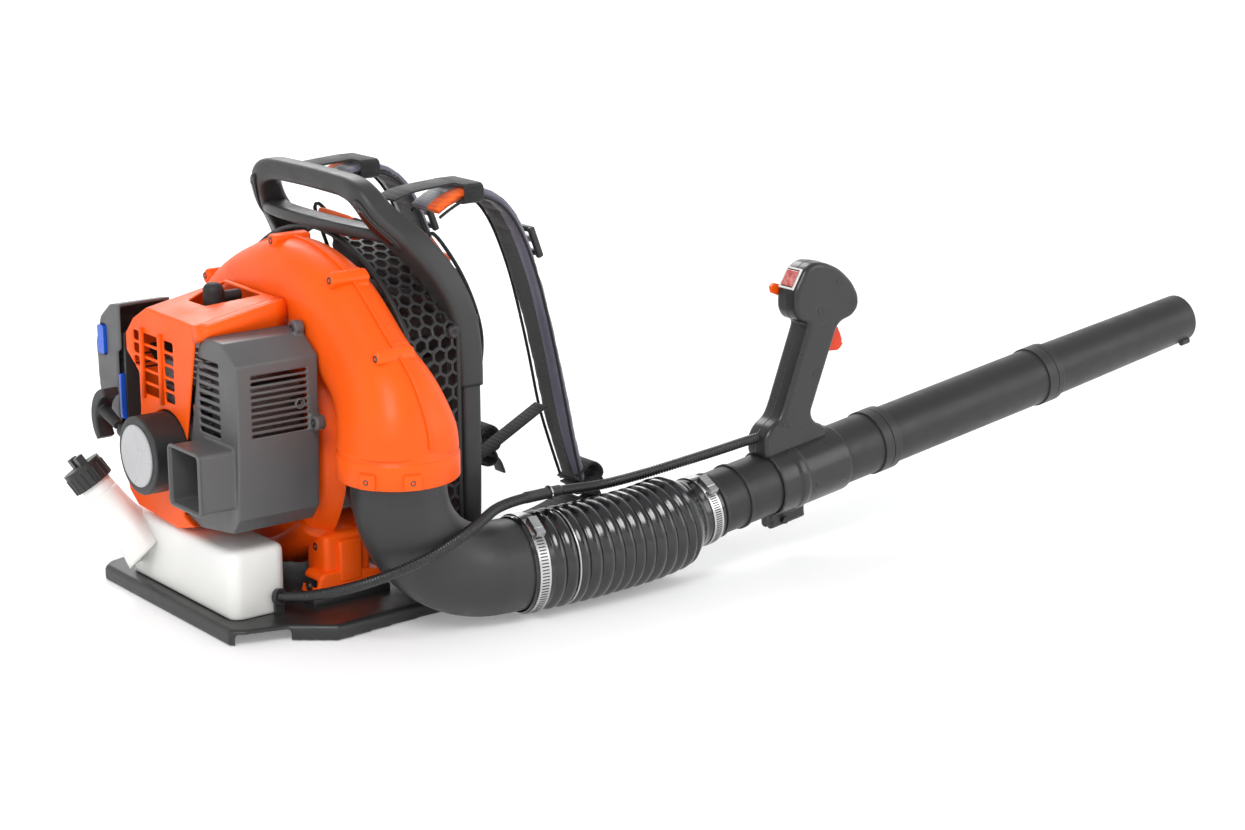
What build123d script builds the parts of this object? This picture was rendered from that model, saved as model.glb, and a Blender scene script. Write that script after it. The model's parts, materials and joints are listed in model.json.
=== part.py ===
from build123d import *
import os
from math import atan2, cos, degrees, pi, radians, sin, tan

os.makedirs("parts", exist_ok=True)

# Backpack leaf blower. Millimetres. +Z up, +Y the way the blower tube points, +X the wearer's right.
# The origin is on the underside of the base plate, below the middle of the fan.

# Driving dimensions
BASE_REAR = -130.0
BASE_FRONT = 190.0
BASE_HEIGHT = 18.0
SHAFT_Z = 191.0
SHELL_WALL = 3.0

FAN_REAR = -4.0
FAN_FRONT = 86.0
FAN_MIDDLE = 41.0
IMPELLER_RADIUS = 138.0
DUCT_X = 238.0
DUCT_RADIUS = 54.0
DUCT_WALL = 3.0
DUCT_FLOOR_Z = 59.0

SHROUD_REAR = -115.0
SHROUD_FRONT = -8.0
MUFFLER_SIDE_X = 152.0

TUBE_X = 258.0
TUBE_RISE = 0.135
TUBE_REF_Y = 468.0
TUBE_REF_Z = 76.0
TUBE_PITCH = degrees(atan2(TUBE_RISE, 1.0))
LOWER_TUBE_RADIUS = 39.0
MID_TUBE_RADIUS = 37.5
NOZZLE_RADIUS = 34.0
TUBE_WALL = 2.5
FIT_GAP = 0.3

FRAME_REAR = 160.0
FRAME_FRONT = 188.0
STRAP_X = 110.0
STRAP_WIDTH = 62.0


def shaft_plane(y):
    """A plane across the crankshaft at station y, with its normal along +Y."""
    return Plane(origin=(0, y, SHAFT_Z), x_dir=(-1, 0, 0), z_dir=(0, 1, 0))


def upright(y):
    """An upright plane facing the rear (-Y) at station y: local x is +X, local y is +Z."""
    return Plane(origin=(0, y, 0), x_dir=(1, 0, 0), z_dir=(0, -1, 0))


def side(x):
    """An upright plane facing +X at station x: local x is +Y, local y is +Z."""
    return Plane(origin=(x, 0, 0), x_dir=(0, 1, 0), z_dir=(1, 0, 0))


def tube_z(y):
    """Height of the blower tube's axis at station y."""
    return TUBE_REF_Z + TUBE_RISE * (y - TUBE_REF_Y)


def tube_plane(y):
    """A plane across the blower tube at station y, with its normal along the tube."""
    pitch = radians(TUBE_PITCH)
    return Plane(origin=(TUBE_X, y, tube_z(y)), x_dir=(-1, 0, 0), z_dir=(0, cos(pitch), sin(pitch)))


def along_tube(y0, y1):
    """Length along the tube between two stations given by their y."""
    return (y1 - y0) / cos(radians(TUBE_PITCH))


# ---------------------------------------------------------------- base plate
base_outline = [
    (0, BASE_REAR),
    (150, BASE_REAR),
    (162, BASE_REAR + 12),
    (176, -68),
    (211, -24),
    (206, 30),
    (203, 70),
    (200, 150),
    (172, BASE_FRONT),
    (0, BASE_FRONT),
]
mirrored_outline = [(-x, y) for x, y in reversed(base_outline[1:-1])]

with BuildPart() as base_plate:
    with BuildSketch():
        with BuildLine():
            Polyline(*base_outline, *mirrored_outline, close=True)
        make_face()
    extrude(amount=BASE_HEIGHT)
    fillet(base_plate.faces().sort_by(Axis.Z)[-1].edges(), 5)
    # hollow underside with a cross of ribs that meet at the origin
    with BuildSketch():
        with Locations((-92, -66), (92, -66), (-92, 92), (92, 92)):
            RectangleRounded(168, 116, 12)
        with Locations((0, 15)):
            Rectangle(352, 16, mode=Mode.SUBTRACT)
        with Locations((0, 0)):
            Rectangle(24, 320, mode=Mode.SUBTRACT)
    extrude(amount=BASE_HEIGHT - 5, mode=Mode.SUBTRACT)
    # shallow seat for the fuel tank
    with BuildSketch(Plane.XY.offset(BASE_HEIGHT - 1.5)):
        with Locations((6, -76)):
            RectangleRounded(246, 74, 14)
    extrude(amount=10, mode=Mode.SUBTRACT)
base_plate.part.label = "base_plate"
export_step(base_plate.part, "parts/base_plate.step")

# ---------------------------------------------------------------- back frame and carry handle
HANDLE_REAR = 70.0
HANDLE_FRONT = 104.0
handle_right = [(0, 499), (80, 494), (104, 481), (117, 458), (122, 444), (110, 432), (66, 429), (0, 429)]
handle_left = [(-x, z) for x, z in reversed(handle_right[1:-1])]
handle_gap = [(-50, 474), (50, 474), (60, 458), (66, 441), (-66, 441), (-60, 458)]
arm_route = [(94, 87, 455), (136, 116, 437), (168, 152, 388), (176, 175, 330), (177, 175, 290)]

with BuildPart() as back_frame:
    # back panel
    with BuildSketch(upright(FRAME_FRONT)):
        with BuildLine():
            Polyline((-165, 18), (165, 18), (186, 45), (186, 118), (194, 130), (194, 300), (172, 345),
                     (-172, 345), (-194, 300), (-194, 130), (-186, 118), (-186, 45), close=True)
        make_face()
    extrude(amount=FRAME_FRONT - FRAME_REAR)
    # hollow rear side that leaves a rim and a skin in front
    with BuildSketch(upright(FRAME_REAR)):
        with BuildLine():
            Polyline((-155, 30), (155, 30), (176, 56), (176, 290), (160, 330), (-160, 330), (-176, 290),
                     (-176, 56), close=True)
        make_face()
    extrude(amount=-22, mode=Mode.SUBTRACT)
    # upright ribs behind the skin
    with BuildSketch(upright(FRAME_FRONT - 5)):
        with Locations((-70, 180), (70, 180)):
            Rectangle(6, 304)
        with Locations((0, 110), (0, 260)):
            Rectangle(356, 6)
    extrude(amount=15)
    # handle loop
    with BuildSketch(upright(HANDLE_FRONT)):
        with BuildLine():
            Polyline(*handle_right, *handle_left, close=True)
        make_face()
        with BuildLine():
            Polyline(*handle_gap, close=True)
        make_face(mode=Mode.SUBTRACT)
    extrude(amount=HANDLE_FRONT - HANDLE_REAR)
    # arms from the loop down to the panel
    for mirror_x in (1, -1):
        arm_points = [(mirror_x * x, y, z) for x, y, z in arm_route]
        with BuildLine() as arm_line:
            FilletPolyline(*arm_points, radius=18)
        start = arm_line.line @ 0
        heading = arm_line.line % 0
        with BuildSketch(Plane(origin=start, x_dir=(0, 0, 1), z_dir=heading)):
            RectangleRounded(34, 34, 8)
        sweep(path=arm_line.line)
back_frame.part.label = "back_frame"
export_step(back_frame.part, "parts/back_frame.step")

# ---------------------------------------------------------------- fan housing (scroll), two halves
# Scroll radius at angles measured from +X towards +Z; it grows clockwise towards the duct.
scroll_radii = [(-40, 158), (-90, 162), (-135, 170), (180, 186), (135, 208), (90, 230), (60, 250), (34, 268)]
DUCT_OUTER_X = DUCT_X + DUCT_RADIUS + 12
DUCT_INNER_X = DUCT_X - DUCT_RADIUS - 12
DUCT_TOP_Z = 218.0


def scroll_outline(y, grow):
    """Face of the scroll with its outlet on the plane at y; grow moves every wall outwards."""
    points = [((r + grow) * cos(radians(a)), SHAFT_Z + (r + grow) * sin(radians(a))) for a, r in scroll_radii]
    inner_x = DUCT_INNER_X - grow
    outer_x = DUCT_OUTER_X + grow
    floor_z = DUCT_TOP_Z - 30 - min(grow, 0)
    with BuildSketch(upright(y)) as sketch:
        with BuildLine():
            first = Line((inner_x, floor_z), points[0])
            curve = Spline(*points, (outer_x, DUCT_TOP_Z + 20))
            Line(curve @ 1, (outer_x, floor_z))
            Line((outer_x, floor_z), first @ 0)
        make_face()
    return sketch.sketch


def scroll_body(outward, wall):
    """Rounded body of one half of the scroll, drawn in by wall on every side but the seam."""
    depth = FAN_MIDDLE - FAN_REAR - wall
    with BuildPart() as body:
        for share, grow in ((0, 0), (0.5, -2), (0.8, -9), (1.0, -22)):
            add(scroll_outline(FAN_MIDDLE - outward * depth * share, grow - wall))
        loft(ruled=True)
    return body.part


COLLAR_RADIUS = 65.0
COLLAR_BOTTOM_Z = 188.0
COLLAR_TOP_Z = 226.0
FLANGE_BOSS_RADIUS = 9.0
FLANGE_SCREW_RADIUS = 2.2
EYE_RADIUS = 88.0
flange_places = [
    ((r + 7) * cos(radians(a)), SHAFT_Z + (r + 7) * sin(radians(a))) for a, r in scroll_radii[3:]
]


def scroll_half(outward):
    """One half of the fan housing: outward is 1 for the rear half and -1 for the front half."""
    with BuildPart() as half:
        add(scroll_body(outward, 0))
        with BuildSketch(upright(FAN_MIDDLE)):
            with Locations(*flange_places):
                Circle(FLANGE_BOSS_RADIUS)
        extrude(amount=15 * outward)
        with BuildSketch(Plane.XY.offset(COLLAR_BOTTOM_Z)):
            with Locations((DUCT_X, FAN_MIDDLE)):
                Circle(COLLAR_RADIUS)
            with Locations((DUCT_X, FAN_MIDDLE - outward * 50)):
                Rectangle(200, 100, mode=Mode.INTERSECT)
        extrude(amount=COLLAR_TOP_Z - COLLAR_BOTTOM_Z)
        add(scroll_body(outward, SHELL_WALL), mode=Mode.SUBTRACT)
        with BuildSketch(Plane.XY.offset(COLLAR_BOTTOM_Z)):
            with Locations((DUCT_X, FAN_MIDDLE)):
                Circle(DUCT_RADIUS)
        extrude(amount=40, mode=Mode.SUBTRACT)
        with BuildSketch(upright(FAN_MIDDLE)):
            with Locations(*flange_places):
                Circle(FLANGE_SCREW_RADIUS)
        extrude(amount=15 * outward, mode=Mode.SUBTRACT)
    return half


with BuildPart() as fan_housing_rear:
    add(scroll_half(1).part)
    # hole for the crankshaft
    with BuildSketch(upright(FAN_REAR)):
        with Locations((0, SHAFT_Z)):
            Circle(16)
    extrude(amount=-10, mode=Mode.SUBTRACT)
fan_housing_rear.part.label = "fan_housing_rear"
export_step(fan_housing_rear.part, "parts/fan_housing_rear.step")

with BuildPart() as fan_housing_front:
    add(scroll_half(-1).part)
    # intake eye
    with BuildSketch(upright(FAN_FRONT)):
        with Locations((0, SHAFT_Z)):
            Circle(EYE_RADIUS)
    extrude(amount=10, mode=Mode.SUBTRACT)
fan_housing_front.part.label = "fan_housing_front"
export_step(fan_housing_front.part, "parts/fan_housing_front.step")

with BuildPart() as housing_screws:
    with BuildSketch(upright(FAN_MIDDLE + 15)):
        with Locations(*flange_places):
            Circle(FLANGE_SCREW_RADIUS - 0.1)
    extrude(amount=30)
    with BuildSketch(upright(FAN_MIDDLE - 15)):
        with Locations(*flange_places):
            Circle(4.5)
            RegularPolygon(2.2, 6, mode=Mode.SUBTRACT)
    extrude(amount=4)
housing_screws.part.label = "housing_screws"
export_step(housing_screws.part, "parts/housing_screws.step")

# ---------------------------------------------------------------- rotor: impeller, crankshaft, flywheel
IMPELLER_REAR = 8.0
IMPELLER_DEPTH = 62.0
BLADE_COUNT = 12
with BuildPart() as fan_impeller:
    with BuildSketch(shaft_plane(IMPELLER_REAR)):
        Circle(IMPELLER_RADIUS)
    extrude(amount=4)
    with BuildSketch(shaft_plane(IMPELLER_REAR)):
        Circle(26)
    extrude(amount=40)
    with BuildSketch(shaft_plane(IMPELLER_REAR + 4)):
        with PolarLocations(88, BLADE_COUNT):
            with Locations(Location((0, 0, 0), (0, 0, 35))):
                Rectangle(92, 3)
        Circle(IMPELLER_RADIUS, mode=Mode.INTERSECT)
    extrude(amount=IMPELLER_DEPTH - 8)
    with BuildSketch(shaft_plane(IMPELLER_REAR + IMPELLER_DEPTH - 4)):
        Circle(IMPELLER_RADIUS)
        Circle(EYE_RADIUS + 4, mode=Mode.SUBTRACT)
    extrude(amount=4)
    with BuildSketch(shaft_plane(IMPELLER_REAR)):
        Circle(8)
    extrude(amount=60, mode=Mode.SUBTRACT)
fan_impeller.part.label = "fan_impeller"
export_step(fan_impeller.part, "parts/fan_impeller.step")

CRANK_REAR = -112.0
CRANK_FRONT = 46.0
CRANKCASE_REAR = -82.0
CRANKCASE_FRONT = -18.0
CYLINDER_Y = -50.0
CRANK_THROW = 16.0
with BuildPart() as crankshaft:
    # rear journal, two webs with a crank pin between them, front journal
    with BuildSketch(shaft_plane(CRANK_REAR)):
        Circle(8)
    extrude(amount=CYLINDER_Y - 12 - CRANK_REAR)
    with BuildSketch(shaft_plane(CYLINDER_Y + 12)):
        Circle(8)
    extrude(amount=CRANK_FRONT - CYLINDER_Y - 12)
    for web_y in (CYLINDER_Y - 14, CYLINDER_Y + 7):
        with BuildSketch(shaft_plane(web_y)):
            Circle(26)
            with Locations((0, 20)):
                Rectangle(60, 12, mode=Mode.SUBTRACT)
            with Locations((0, 10)):
                Rectangle(22, 26)
        extrude(amount=7)
    with BuildSketch(shaft_plane(CYLINDER_Y - 8)):
        with Locations((0, CRANK_THROW)):
            Circle(6)
    extrude(amount=16)
crankshaft.part.label = "crankshaft"
export_step(crankshaft.part, "parts/crankshaft.step")

CRANKCASE_WALL = 4.0
with BuildPart() as crankcase:
    with BuildSketch(shaft_plane(CRANKCASE_REAR)):
        Circle(40)
        with Locations((0, -6)):
            RectangleRounded(84, 76, 10)
    extrude(amount=CRANKCASE_FRONT - CRANKCASE_REAR)
    # mounting flange for the fan housing
    with BuildSketch(shaft_plane(CRANKCASE_FRONT)):
        RectangleRounded(120, 98, 12)
    extrude(amount=FAN_REAR - CRANKCASE_FRONT)
    with BuildSketch(shaft_plane(CRANKCASE_REAR + CRANKCASE_WALL)):
        Circle(32)
    extrude(amount=CRANKCASE_FRONT - CRANKCASE_REAR - 2 * CRANKCASE_WALL, mode=Mode.SUBTRACT)
    with BuildSketch(shaft_plane(CRANKCASE_REAR)):
        Circle(8.05)
    extrude(amount=FAN_REAR - CRANKCASE_REAR, mode=Mode.SUBTRACT)
    # opening for the cylinder foot and the connecting rod
    with BuildSketch(Plane.XY.offset(SHAFT_Z)):
        with Locations((0, CYLINDER_Y)):
            Circle(20.2)
    extrude(amount=60, mode=Mode.SUBTRACT)
crankcase.part.label = "crankcase"
export_step(crankcase.part, "parts/crankcase.step")

CYLINDER_FOOT_Z = SHAFT_Z + 40
CYLINDER_HEAD_Z = SHAFT_Z + 128
BORE_RADIUS = 20.0
FIN_COUNT = 10
with BuildPart() as cylinder:
    with BuildSketch(Plane.XY.offset(CYLINDER_FOOT_Z)):
        with Locations((0, CYLINDER_Y)):
            Circle(25)
    extrude(amount=CYLINDER_HEAD_Z - CYLINDER_FOOT_Z)
    for fin in range(FIN_COUNT):
        with BuildSketch(Plane.XY.offset(CYLINDER_FOOT_Z + 12 + 7.6 * fin)):
            with Locations((0, CYLINDER_Y)):
                RectangleRounded(84, 72, 12)
        extrude(amount=2)
    # exhaust port towards the muffler and intake port towards the carburettor
    with BuildSketch(side(-50)):
        with Locations((CYLINDER_Y, CYLINDER_FOOT_Z + 26)):
            Rectangle(38, 28)
    extrude(amount=100)
    with BuildSketch(Plane.XY.offset(CYLINDER_FOOT_Z)):
        with Locations((0, CYLINDER_Y)):
            Circle(BORE_RADIUS)
    extrude(amount=74, mode=Mode.SUBTRACT)
    with BuildSketch(side(-60)):
        with Locations((CYLINDER_Y, CYLINDER_FOOT_Z + 26)):
            Circle(8)
    extrude(amount=120, mode=Mode.SUBTRACT)
    with BuildSketch(Plane.XY.offset(CYLINDER_HEAD_Z)):
        with Locations((0, CYLINDER_Y)):
            Circle(5)
    extrude(amount=-30, mode=Mode.SUBTRACT)
cylinder.part.label = "cylinder"
export_step(cylinder.part, "parts/cylinder.step")

PISTON_PIN_Z = SHAFT_Z + CRANK_THROW + 52
# the rod's lower eye stands clear above the turning crank pin
ROD_EYE_Z = SHAFT_Z + CRANK_THROW + 19
with BuildPart() as piston:
    with BuildSketch(Plane.XY.offset(PISTON_PIN_Z - 12)):
        with Locations((0, CYLINDER_Y)):
            Circle(BORE_RADIUS - 0.05)
    extrude(amount=30)
    with BuildSketch(Plane.XY.offset(PISTON_PIN_Z - 12)):
        with Locations((0, CYLINDER_Y)):
            Circle(BORE_RADIUS - 3)
    extrude(amount=26, mode=Mode.SUBTRACT)
    with BuildSketch(upright(CYLINDER_Y + 18)):
        with Locations((0, PISTON_PIN_Z)):
            Circle(4)
    extrude(amount=36)
piston.part.label = "piston"
export_step(piston.part, "parts/piston.step")

with BuildPart() as connecting_rod:
    with BuildSketch(upright(CYLINDER_Y + 5)):
        with Locations((0, ROD_EYE_Z)):
            Circle(10)
        with Locations((0, PISTON_PIN_Z)):
            Circle(8)
        with Locations((0, (ROD_EYE_Z + PISTON_PIN_Z) / 2)):
            Rectangle(8, PISTON_PIN_Z - ROD_EYE_Z)
        with Locations((0, ROD_EYE_Z)):
            Circle(6.05, mode=Mode.SUBTRACT)
        with Locations((0, PISTON_PIN_Z)):
            Circle(4.05, mode=Mode.SUBTRACT)
    extrude(amount=10)
connecting_rod.part.label = "connecting_rod"
export_step(connecting_rod.part, "parts/connecting_rod.step")

FLYWHEEL_REAR = -106.0
FLYWHEEL_RADIUS = 40.0
with BuildPart() as flywheel:
    with BuildSketch(shaft_plane(FLYWHEEL_REAR)):
        Circle(FLYWHEEL_RADIUS)
        Circle(8, mode=Mode.SUBTRACT)
    extrude(amount=14)
    # cooling vanes
    with BuildSketch(shaft_plane(FLYWHEEL_REAR + 14)):
        with PolarLocations(28, 14):
            Rectangle(20, 2.4)
    extrude(amount=8)
flywheel.part.label = "flywheel"
export_step(flywheel.part, "parts/flywheel.step")

with BuildPart() as ignition_coil:
    with BuildSketch(upright(FLYWHEEL_REAR + 12)):
        with Locations((0, SHAFT_Z + FLYWHEEL_RADIUS + 12)):
            Rectangle(46, 22)
        with Locations((0, SHAFT_Z + FLYWHEEL_RADIUS + 4)):
            Rectangle(20, 10, mode=Mode.SUBTRACT)
    extrude(amount=12)
    with BuildSketch(upright(FLYWHEEL_REAR + 18)):
        with Locations((0, SHAFT_Z + FLYWHEEL_RADIUS + 24)):
            RectangleRounded(30, 26, 4)
    extrude(amount=22)
ignition_coil.part.label = "ignition_coil"
export_step(ignition_coil.part, "parts/ignition_coil.step")

with BuildPart() as spark_plug:
    with BuildSketch(Plane.XY.offset(CYLINDER_HEAD_Z - 28)):
        with Locations((0, CYLINDER_Y)):
            Circle(4.95)
    extrude(amount=28)
    with BuildSketch(Plane.XY.offset(CYLINDER_HEAD_Z)):
        with Locations((0, CYLINDER_Y)):
            RegularPolygon(9.5, 6)
    extrude(amount=9)
    with BuildSketch(Plane.XY.offset(CYLINDER_HEAD_Z + 9)):
        with Locations((0, CYLINDER_Y)):
            Circle(5)
    extrude(amount=22)
spark_plug.part.label = "spark_plug"
export_step(spark_plug.part, "parts/spark_plug.step")

BOOT_TOP_Z = 378.0
with BuildPart() as plug_boot:
    with BuildSketch(Plane.XY.offset(CYLINDER_HEAD_Z + 10)):
        with Locations((0, CYLINDER_Y)):
            Circle(12)
    extrude(amount=BOOT_TOP_Z - CYLINDER_HEAD_Z - 10)
    fillet(plug_boot.faces().sort_by(Axis.Z)[-1].edges(), 9)
    # cable elbow that runs forwards into the shroud
    with BuildSketch(upright(CYLINDER_Y)):
        with Locations((0, BOOT_TOP_Z - 18)):
            Circle(7)
    extrude(amount=-34)
    with BuildSketch(Plane.XY.offset(CYLINDER_HEAD_Z)):
        with Locations((0, CYLINDER_Y)):
            Circle(5.3)
    extrude(amount=32, mode=Mode.SUBTRACT)
plug_boot.part.label = "plug_boot"
export_step(plug_boot.part, "parts/plug_boot.step")

# ---------------------------------------------------------------- muffler and its cover
MUFFLER_PORT_Z = CYLINDER_FOOT_Z + 26
with BuildPart() as muffler:
    with BuildSketch(Plane.XY.offset(MUFFLER_PORT_Z - 62)):
        with Locations((104, -56)):
            RectangleRounded(78, 86, 14)
    extrude(amount=96)
    fillet(muffler.faces().sort_by(Axis.Z)[-1].edges(), 8)
    offset(amount=-1.5, kind=Kind.INTERSECTION, mode=Mode.SUBTRACT)
    # inlet pipe from the exhaust port
    with BuildSketch(side(50.2)):
        with Locations((CYLINDER_Y, MUFFLER_PORT_Z)):
            Circle(14)
    extrude(amount=18)
    with BuildSketch(side(50.2)):
        with Locations((CYLINDER_Y, MUFFLER_PORT_Z)):
            Circle(8)
    extrude(amount=20, mode=Mode.SUBTRACT)
    # outlet pipe towards the rear
    with BuildSketch(upright(-98)):
        with Locations((108, 200)):
            Circle(12)
    extrude(amount=20)
    with BuildSketch(upright(-90)):
        with Locations((108, 200)):
            Circle(10)
    extrude(amount=30, mode=Mode.SUBTRACT)
muffler.part.label = "muffler"
export_step(muffler.part, "parts/muffler.step")

COVER_REAR = -110.0
COVER_FRONT = -6.0
COVER_WALL = 2.5
EXHAUST_REAR = -155.0
cover_outline = [(71, 327), (85, 338), (122, 337), (MUFFLER_SIDE_X, 316), (MUFFLER_SIDE_X, 240),
                 (146, 140), (132, 122), (60, 112), (29, 119), (37, 196), (44, 212)]
cover_inside = [(10, 334), (85, 334), (121, 333), (149, 313), (149, 240), (143, 141), (130, 125), (10, 116)]
with BuildPart() as muffler_cover:
    with BuildSketch(upright(COVER_FRONT)):
        with BuildLine():
            Polyline(*cover_outline, close=True)
        make_face()
    extrude(amount=COVER_FRONT - COVER_REAR)
    # square exhaust outlet on the rear face
    with BuildSketch(upright(COVER_REAR + 1)):
        with Locations((109, 187)):
            RectangleRounded(68, 69, 5)
    extrude(amount=COVER_REAR + 1 - EXHAUST_REAR)
    with BuildSketch(upright(COVER_FRONT)):
        with BuildLine():
            Polyline(*cover_inside, close=True)
        make_face()
    extrude(amount=COVER_FRONT - COVER_REAR - COVER_WALL, mode=Mode.SUBTRACT)
    with BuildSketch(upright(COVER_REAR + 5)):
        with Locations((109, 187)):
            RectangleRounded(62, 63, 3)
    extrude(amount=60, mode=Mode.SUBTRACT)
    # cooling slots, rear face and side face
    with BuildSketch(upright(COVER_REAR + 5)):
        with Locations((90, 270)):
            with GridLocations(1, 9.9, 1, 9):
                RectangleRounded(46, 5, 2)
    extrude(amount=10, mode=Mode.SUBTRACT)
    with BuildSketch(side(MUFFLER_SIDE_X - 10)):
        with Locations((-56, 268)):
            with GridLocations(1, 7.4, 1, 10):
                RectangleRounded(72, 3.8, 1.5)
    extrude(amount=20, mode=Mode.SUBTRACT)
    # screw lugs
    with BuildSketch(upright(COVER_FRONT)):
        with Locations((158, 240), (118, 341)):
            Circle(9)
        with Locations((158, 240), (118, 341)):
            Circle(2.6, mode=Mode.SUBTRACT)
    extrude(amount=12)
muffler_cover.part.label = "muffler_cover"
export_step(muffler_cover.part, "parts/muffler_cover.step")

# ---------------------------------------------------------------- engine shroud
SHROUD_TOP_RISE = 20.0
shroud_low = [(28, 119), (52, 111), (12, 100), (-84, 106), (-104, 120), (-109, 138), (-105, 150),
              (-70, 205), (-66, 227), (-66, 270), (-95, 291), (-95, 312)]
shroud_top = [(-76, 332), (-42, 350), (86, 348), (83.5, 338)]
shroud_right = [(70, 327), (43, 212), (36, 196)]
shroud_inside_low = [(-10, 120), (-10, 104), (-83, 109), (-101, 122), (-106, 138), (-102, 149),
                     (-67, 204), (-63, 227), (-63, 269), (-92, 290), (-92, 311)]
shroud_inside_top = [(-74, 330), (-41, 347), (100, 345)]


def shroud_section(y, low, top, right, rise):
    """Rear-view section of the shroud at y, with its top raised by rise."""
    raised = [(x, z + rise) for x, z in top]
    with BuildSketch(upright(y)) as section:
        with BuildLine():
            Polyline(*low, *raised, *right, close=True)
        make_face()
    return section.sketch


with BuildPart() as shroud_body:
    add(shroud_section(SHROUD_REAR, shroud_low, shroud_top, shroud_right, 0))
    add(shroud_section(SHROUD_FRONT, shroud_low, shroud_top, shroud_right, SHROUD_TOP_RISE))
    loft(ruled=True)
with BuildPart() as shroud_hollow:
    add(shroud_section(SHROUD_REAR + 3, shroud_inside_low, shroud_inside_top, [(100, 118)], 0))
    add(shroud_section(SHROUD_FRONT + 1, shroud_inside_low, shroud_inside_top, [(100, 118)], SHROUD_TOP_RISE))
    loft(ruled=True)
with BuildPart() as engine_shroud:
    add(shroud_body.part)
    add(shroud_hollow.part, mode=Mode.SUBTRACT)
    # grille
    with BuildSketch(upright(SHROUD_REAR + 5)):
        with Locations((-69, 283)):
            with GridLocations(1, 15, 1, 5):
                Rectangle(15, 11)
        with Locations((-32, 283)):
            with GridLocations(1, 15, 1, 5):
                Rectangle(46, 11)
        with Locations((7, 283)):
            with GridLocations(1, 15, 1, 5):
                Rectangle(22, 11)
        with Locations((-75, 253)):
            Rectangle(27, 40, mode=Mode.SUBTRACT)
    extrude(amount=10, mode=Mode.SUBTRACT)
    # opening for the starter
    with BuildSketch(upright(SHROUD_REAR + 5)):
        with Locations((0, SHAFT_Z)):
            Circle(46.5)
    extrude(amount=10, mode=Mode.SUBTRACT)
    # recess in the top for the plug boot
    with BuildSketch(Plane.XY.offset(335)):
        with BuildLine():
            Polyline((-18, -72), (18, -72), (46, -14), (-46, -14), close=True)
        make_face()
    extrude(amount=50, mode=Mode.SUBTRACT)
    # opening in the left wall for the intake
    with BuildSketch(side(-120)):
        with Locations((-48, 240)):
            Rectangle(76, 110)
    extrude(amount=70, mode=Mode.SUBTRACT)
engine_shroud.part.label = "engine_shroud"
export_step(engine_shroud.part, "parts/engine_shroud.step")

# ---------------------------------------------------------------- intake side
INTAKE_Z = MUFFLER_PORT_Z
with BuildPart() as carburetor:
    with BuildSketch(side(-90)):
        with Locations((CYLINDER_Y, INTAKE_Z)):
            RectangleRounded(42, 44, 5)
    extrude(amount=39.8)
    with BuildSketch(Plane.XY.offset(INTAKE_Z + 22)):
        with Locations((-70, CYLINDER_Y)):
            Circle(8)
    extrude(amount=10)
    with BuildSketch(side(-90)):
        with Locations((CYLINDER_Y, INTAKE_Z)):
            Circle(9)
    extrude(amount=40, mode=Mode.SUBTRACT)
carburetor.part.label = "carburetor"
export_step(carburetor.part, "parts/carburetor.step")

BASE_PLATE_X = -98.0
with BuildPart() as air_filter_base:
    with BuildSketch(side(BASE_PLATE_X - 5)):
        with Locations((-82, 238)):
            RectangleRounded(64, 148, 6)
    extrude(amount=4)
    # throat to the carburettor
    with BuildSketch(side(BASE_PLATE_X - 5)):
        with Locations((CYLINDER_Y - 8, INTAKE_Z)):
            Rectangle(24, 40)
    extrude(amount=12.8)
    with BuildSketch(side(BASE_PLATE_X - 6)):
        with Locations((CYLINDER_Y - 2, INTAKE_Z)):
            Circle(8.5)
    extrude(amount=20, mode=Mode.SUBTRACT)
    # seat for the primer bulb
    with BuildSketch(side(BASE_PLATE_X - 6)):
        with Locations((-84, 180)):
            Circle(10.4)
    extrude(amount=8, mode=Mode.SUBTRACT)
air_filter_base.part.label = "air_filter_base"
export_step(air_filter_base.part, "parts/air_filter_base.step")

with BuildPart() as primer_bulb:
    with BuildSketch(side(BASE_PLATE_X - 12)):
        with Locations((-84, 180)):
            Circle(10)
    extrude(amount=10)
    fillet(primer_bulb.faces().sort_by(Axis.X)[0].edges(), 6)
primer_bulb.part.label = "primer_bulb"
export_step(primer_bulb.part, "parts/primer_bulb.step")

with BuildPart() as air_filter_element:
    with BuildSketch(side(-140)):
        with Locations((-80, 256)):
            Rectangle(50, 88)
    extrude(amount=36)
    # pleats
    with BuildSketch(side(-140)):
        with Locations((-80, 256)):
            with GridLocations(5, 1, 9, 1):
                Rectangle(2, 80)
    extrude(amount=30, mode=Mode.SUBTRACT)
air_filter_element.part.label = "air_filter_element"
export_step(air_filter_element.part, "parts/air_filter_element.step")

FILTER_REAR = -118.0
FILTER_FRONT = -50.0
with BuildPart() as air_filter_cover:
    with BuildSketch(upright(FILTER_FRONT)):
        with BuildLine():
            Polyline((-112, 190), (-150, 190), (-163, 240), (-166, 290), (-152, 322), (-128, 340),
                     (-104, 344), (-104, 290), (-112, 285), close=True)
        make_face()
    extrude(amount=FILTER_FRONT - FILTER_REAR)
    fillet(air_filter_cover.edges().filter_by(Axis.Y).group_by(Axis.X)[0], 6)
    with BuildSketch(upright(FILTER_FRONT - 3)):
        with BuildLine():
            Polyline((-100, 193), (-147, 193), (-160, 240), (-163, 289), (-150, 320), (-127, 337),
                     (-100, 341), close=True)
        make_face()
    extrude(amount=FILTER_FRONT - FILTER_REAR - 6, mode=Mode.SUBTRACT)
    # pocket for the latch
    with BuildSketch(upright(FILTER_REAR + 5)):
        with Locations((-147, 295)):
            Rectangle(16, 36)
    extrude(amount=10, mode=Mode.SUBTRACT)
air_filter_cover.part.label = "air_filter_cover"
export_step(air_filter_cover.part, "parts/air_filter_cover.step")

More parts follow.
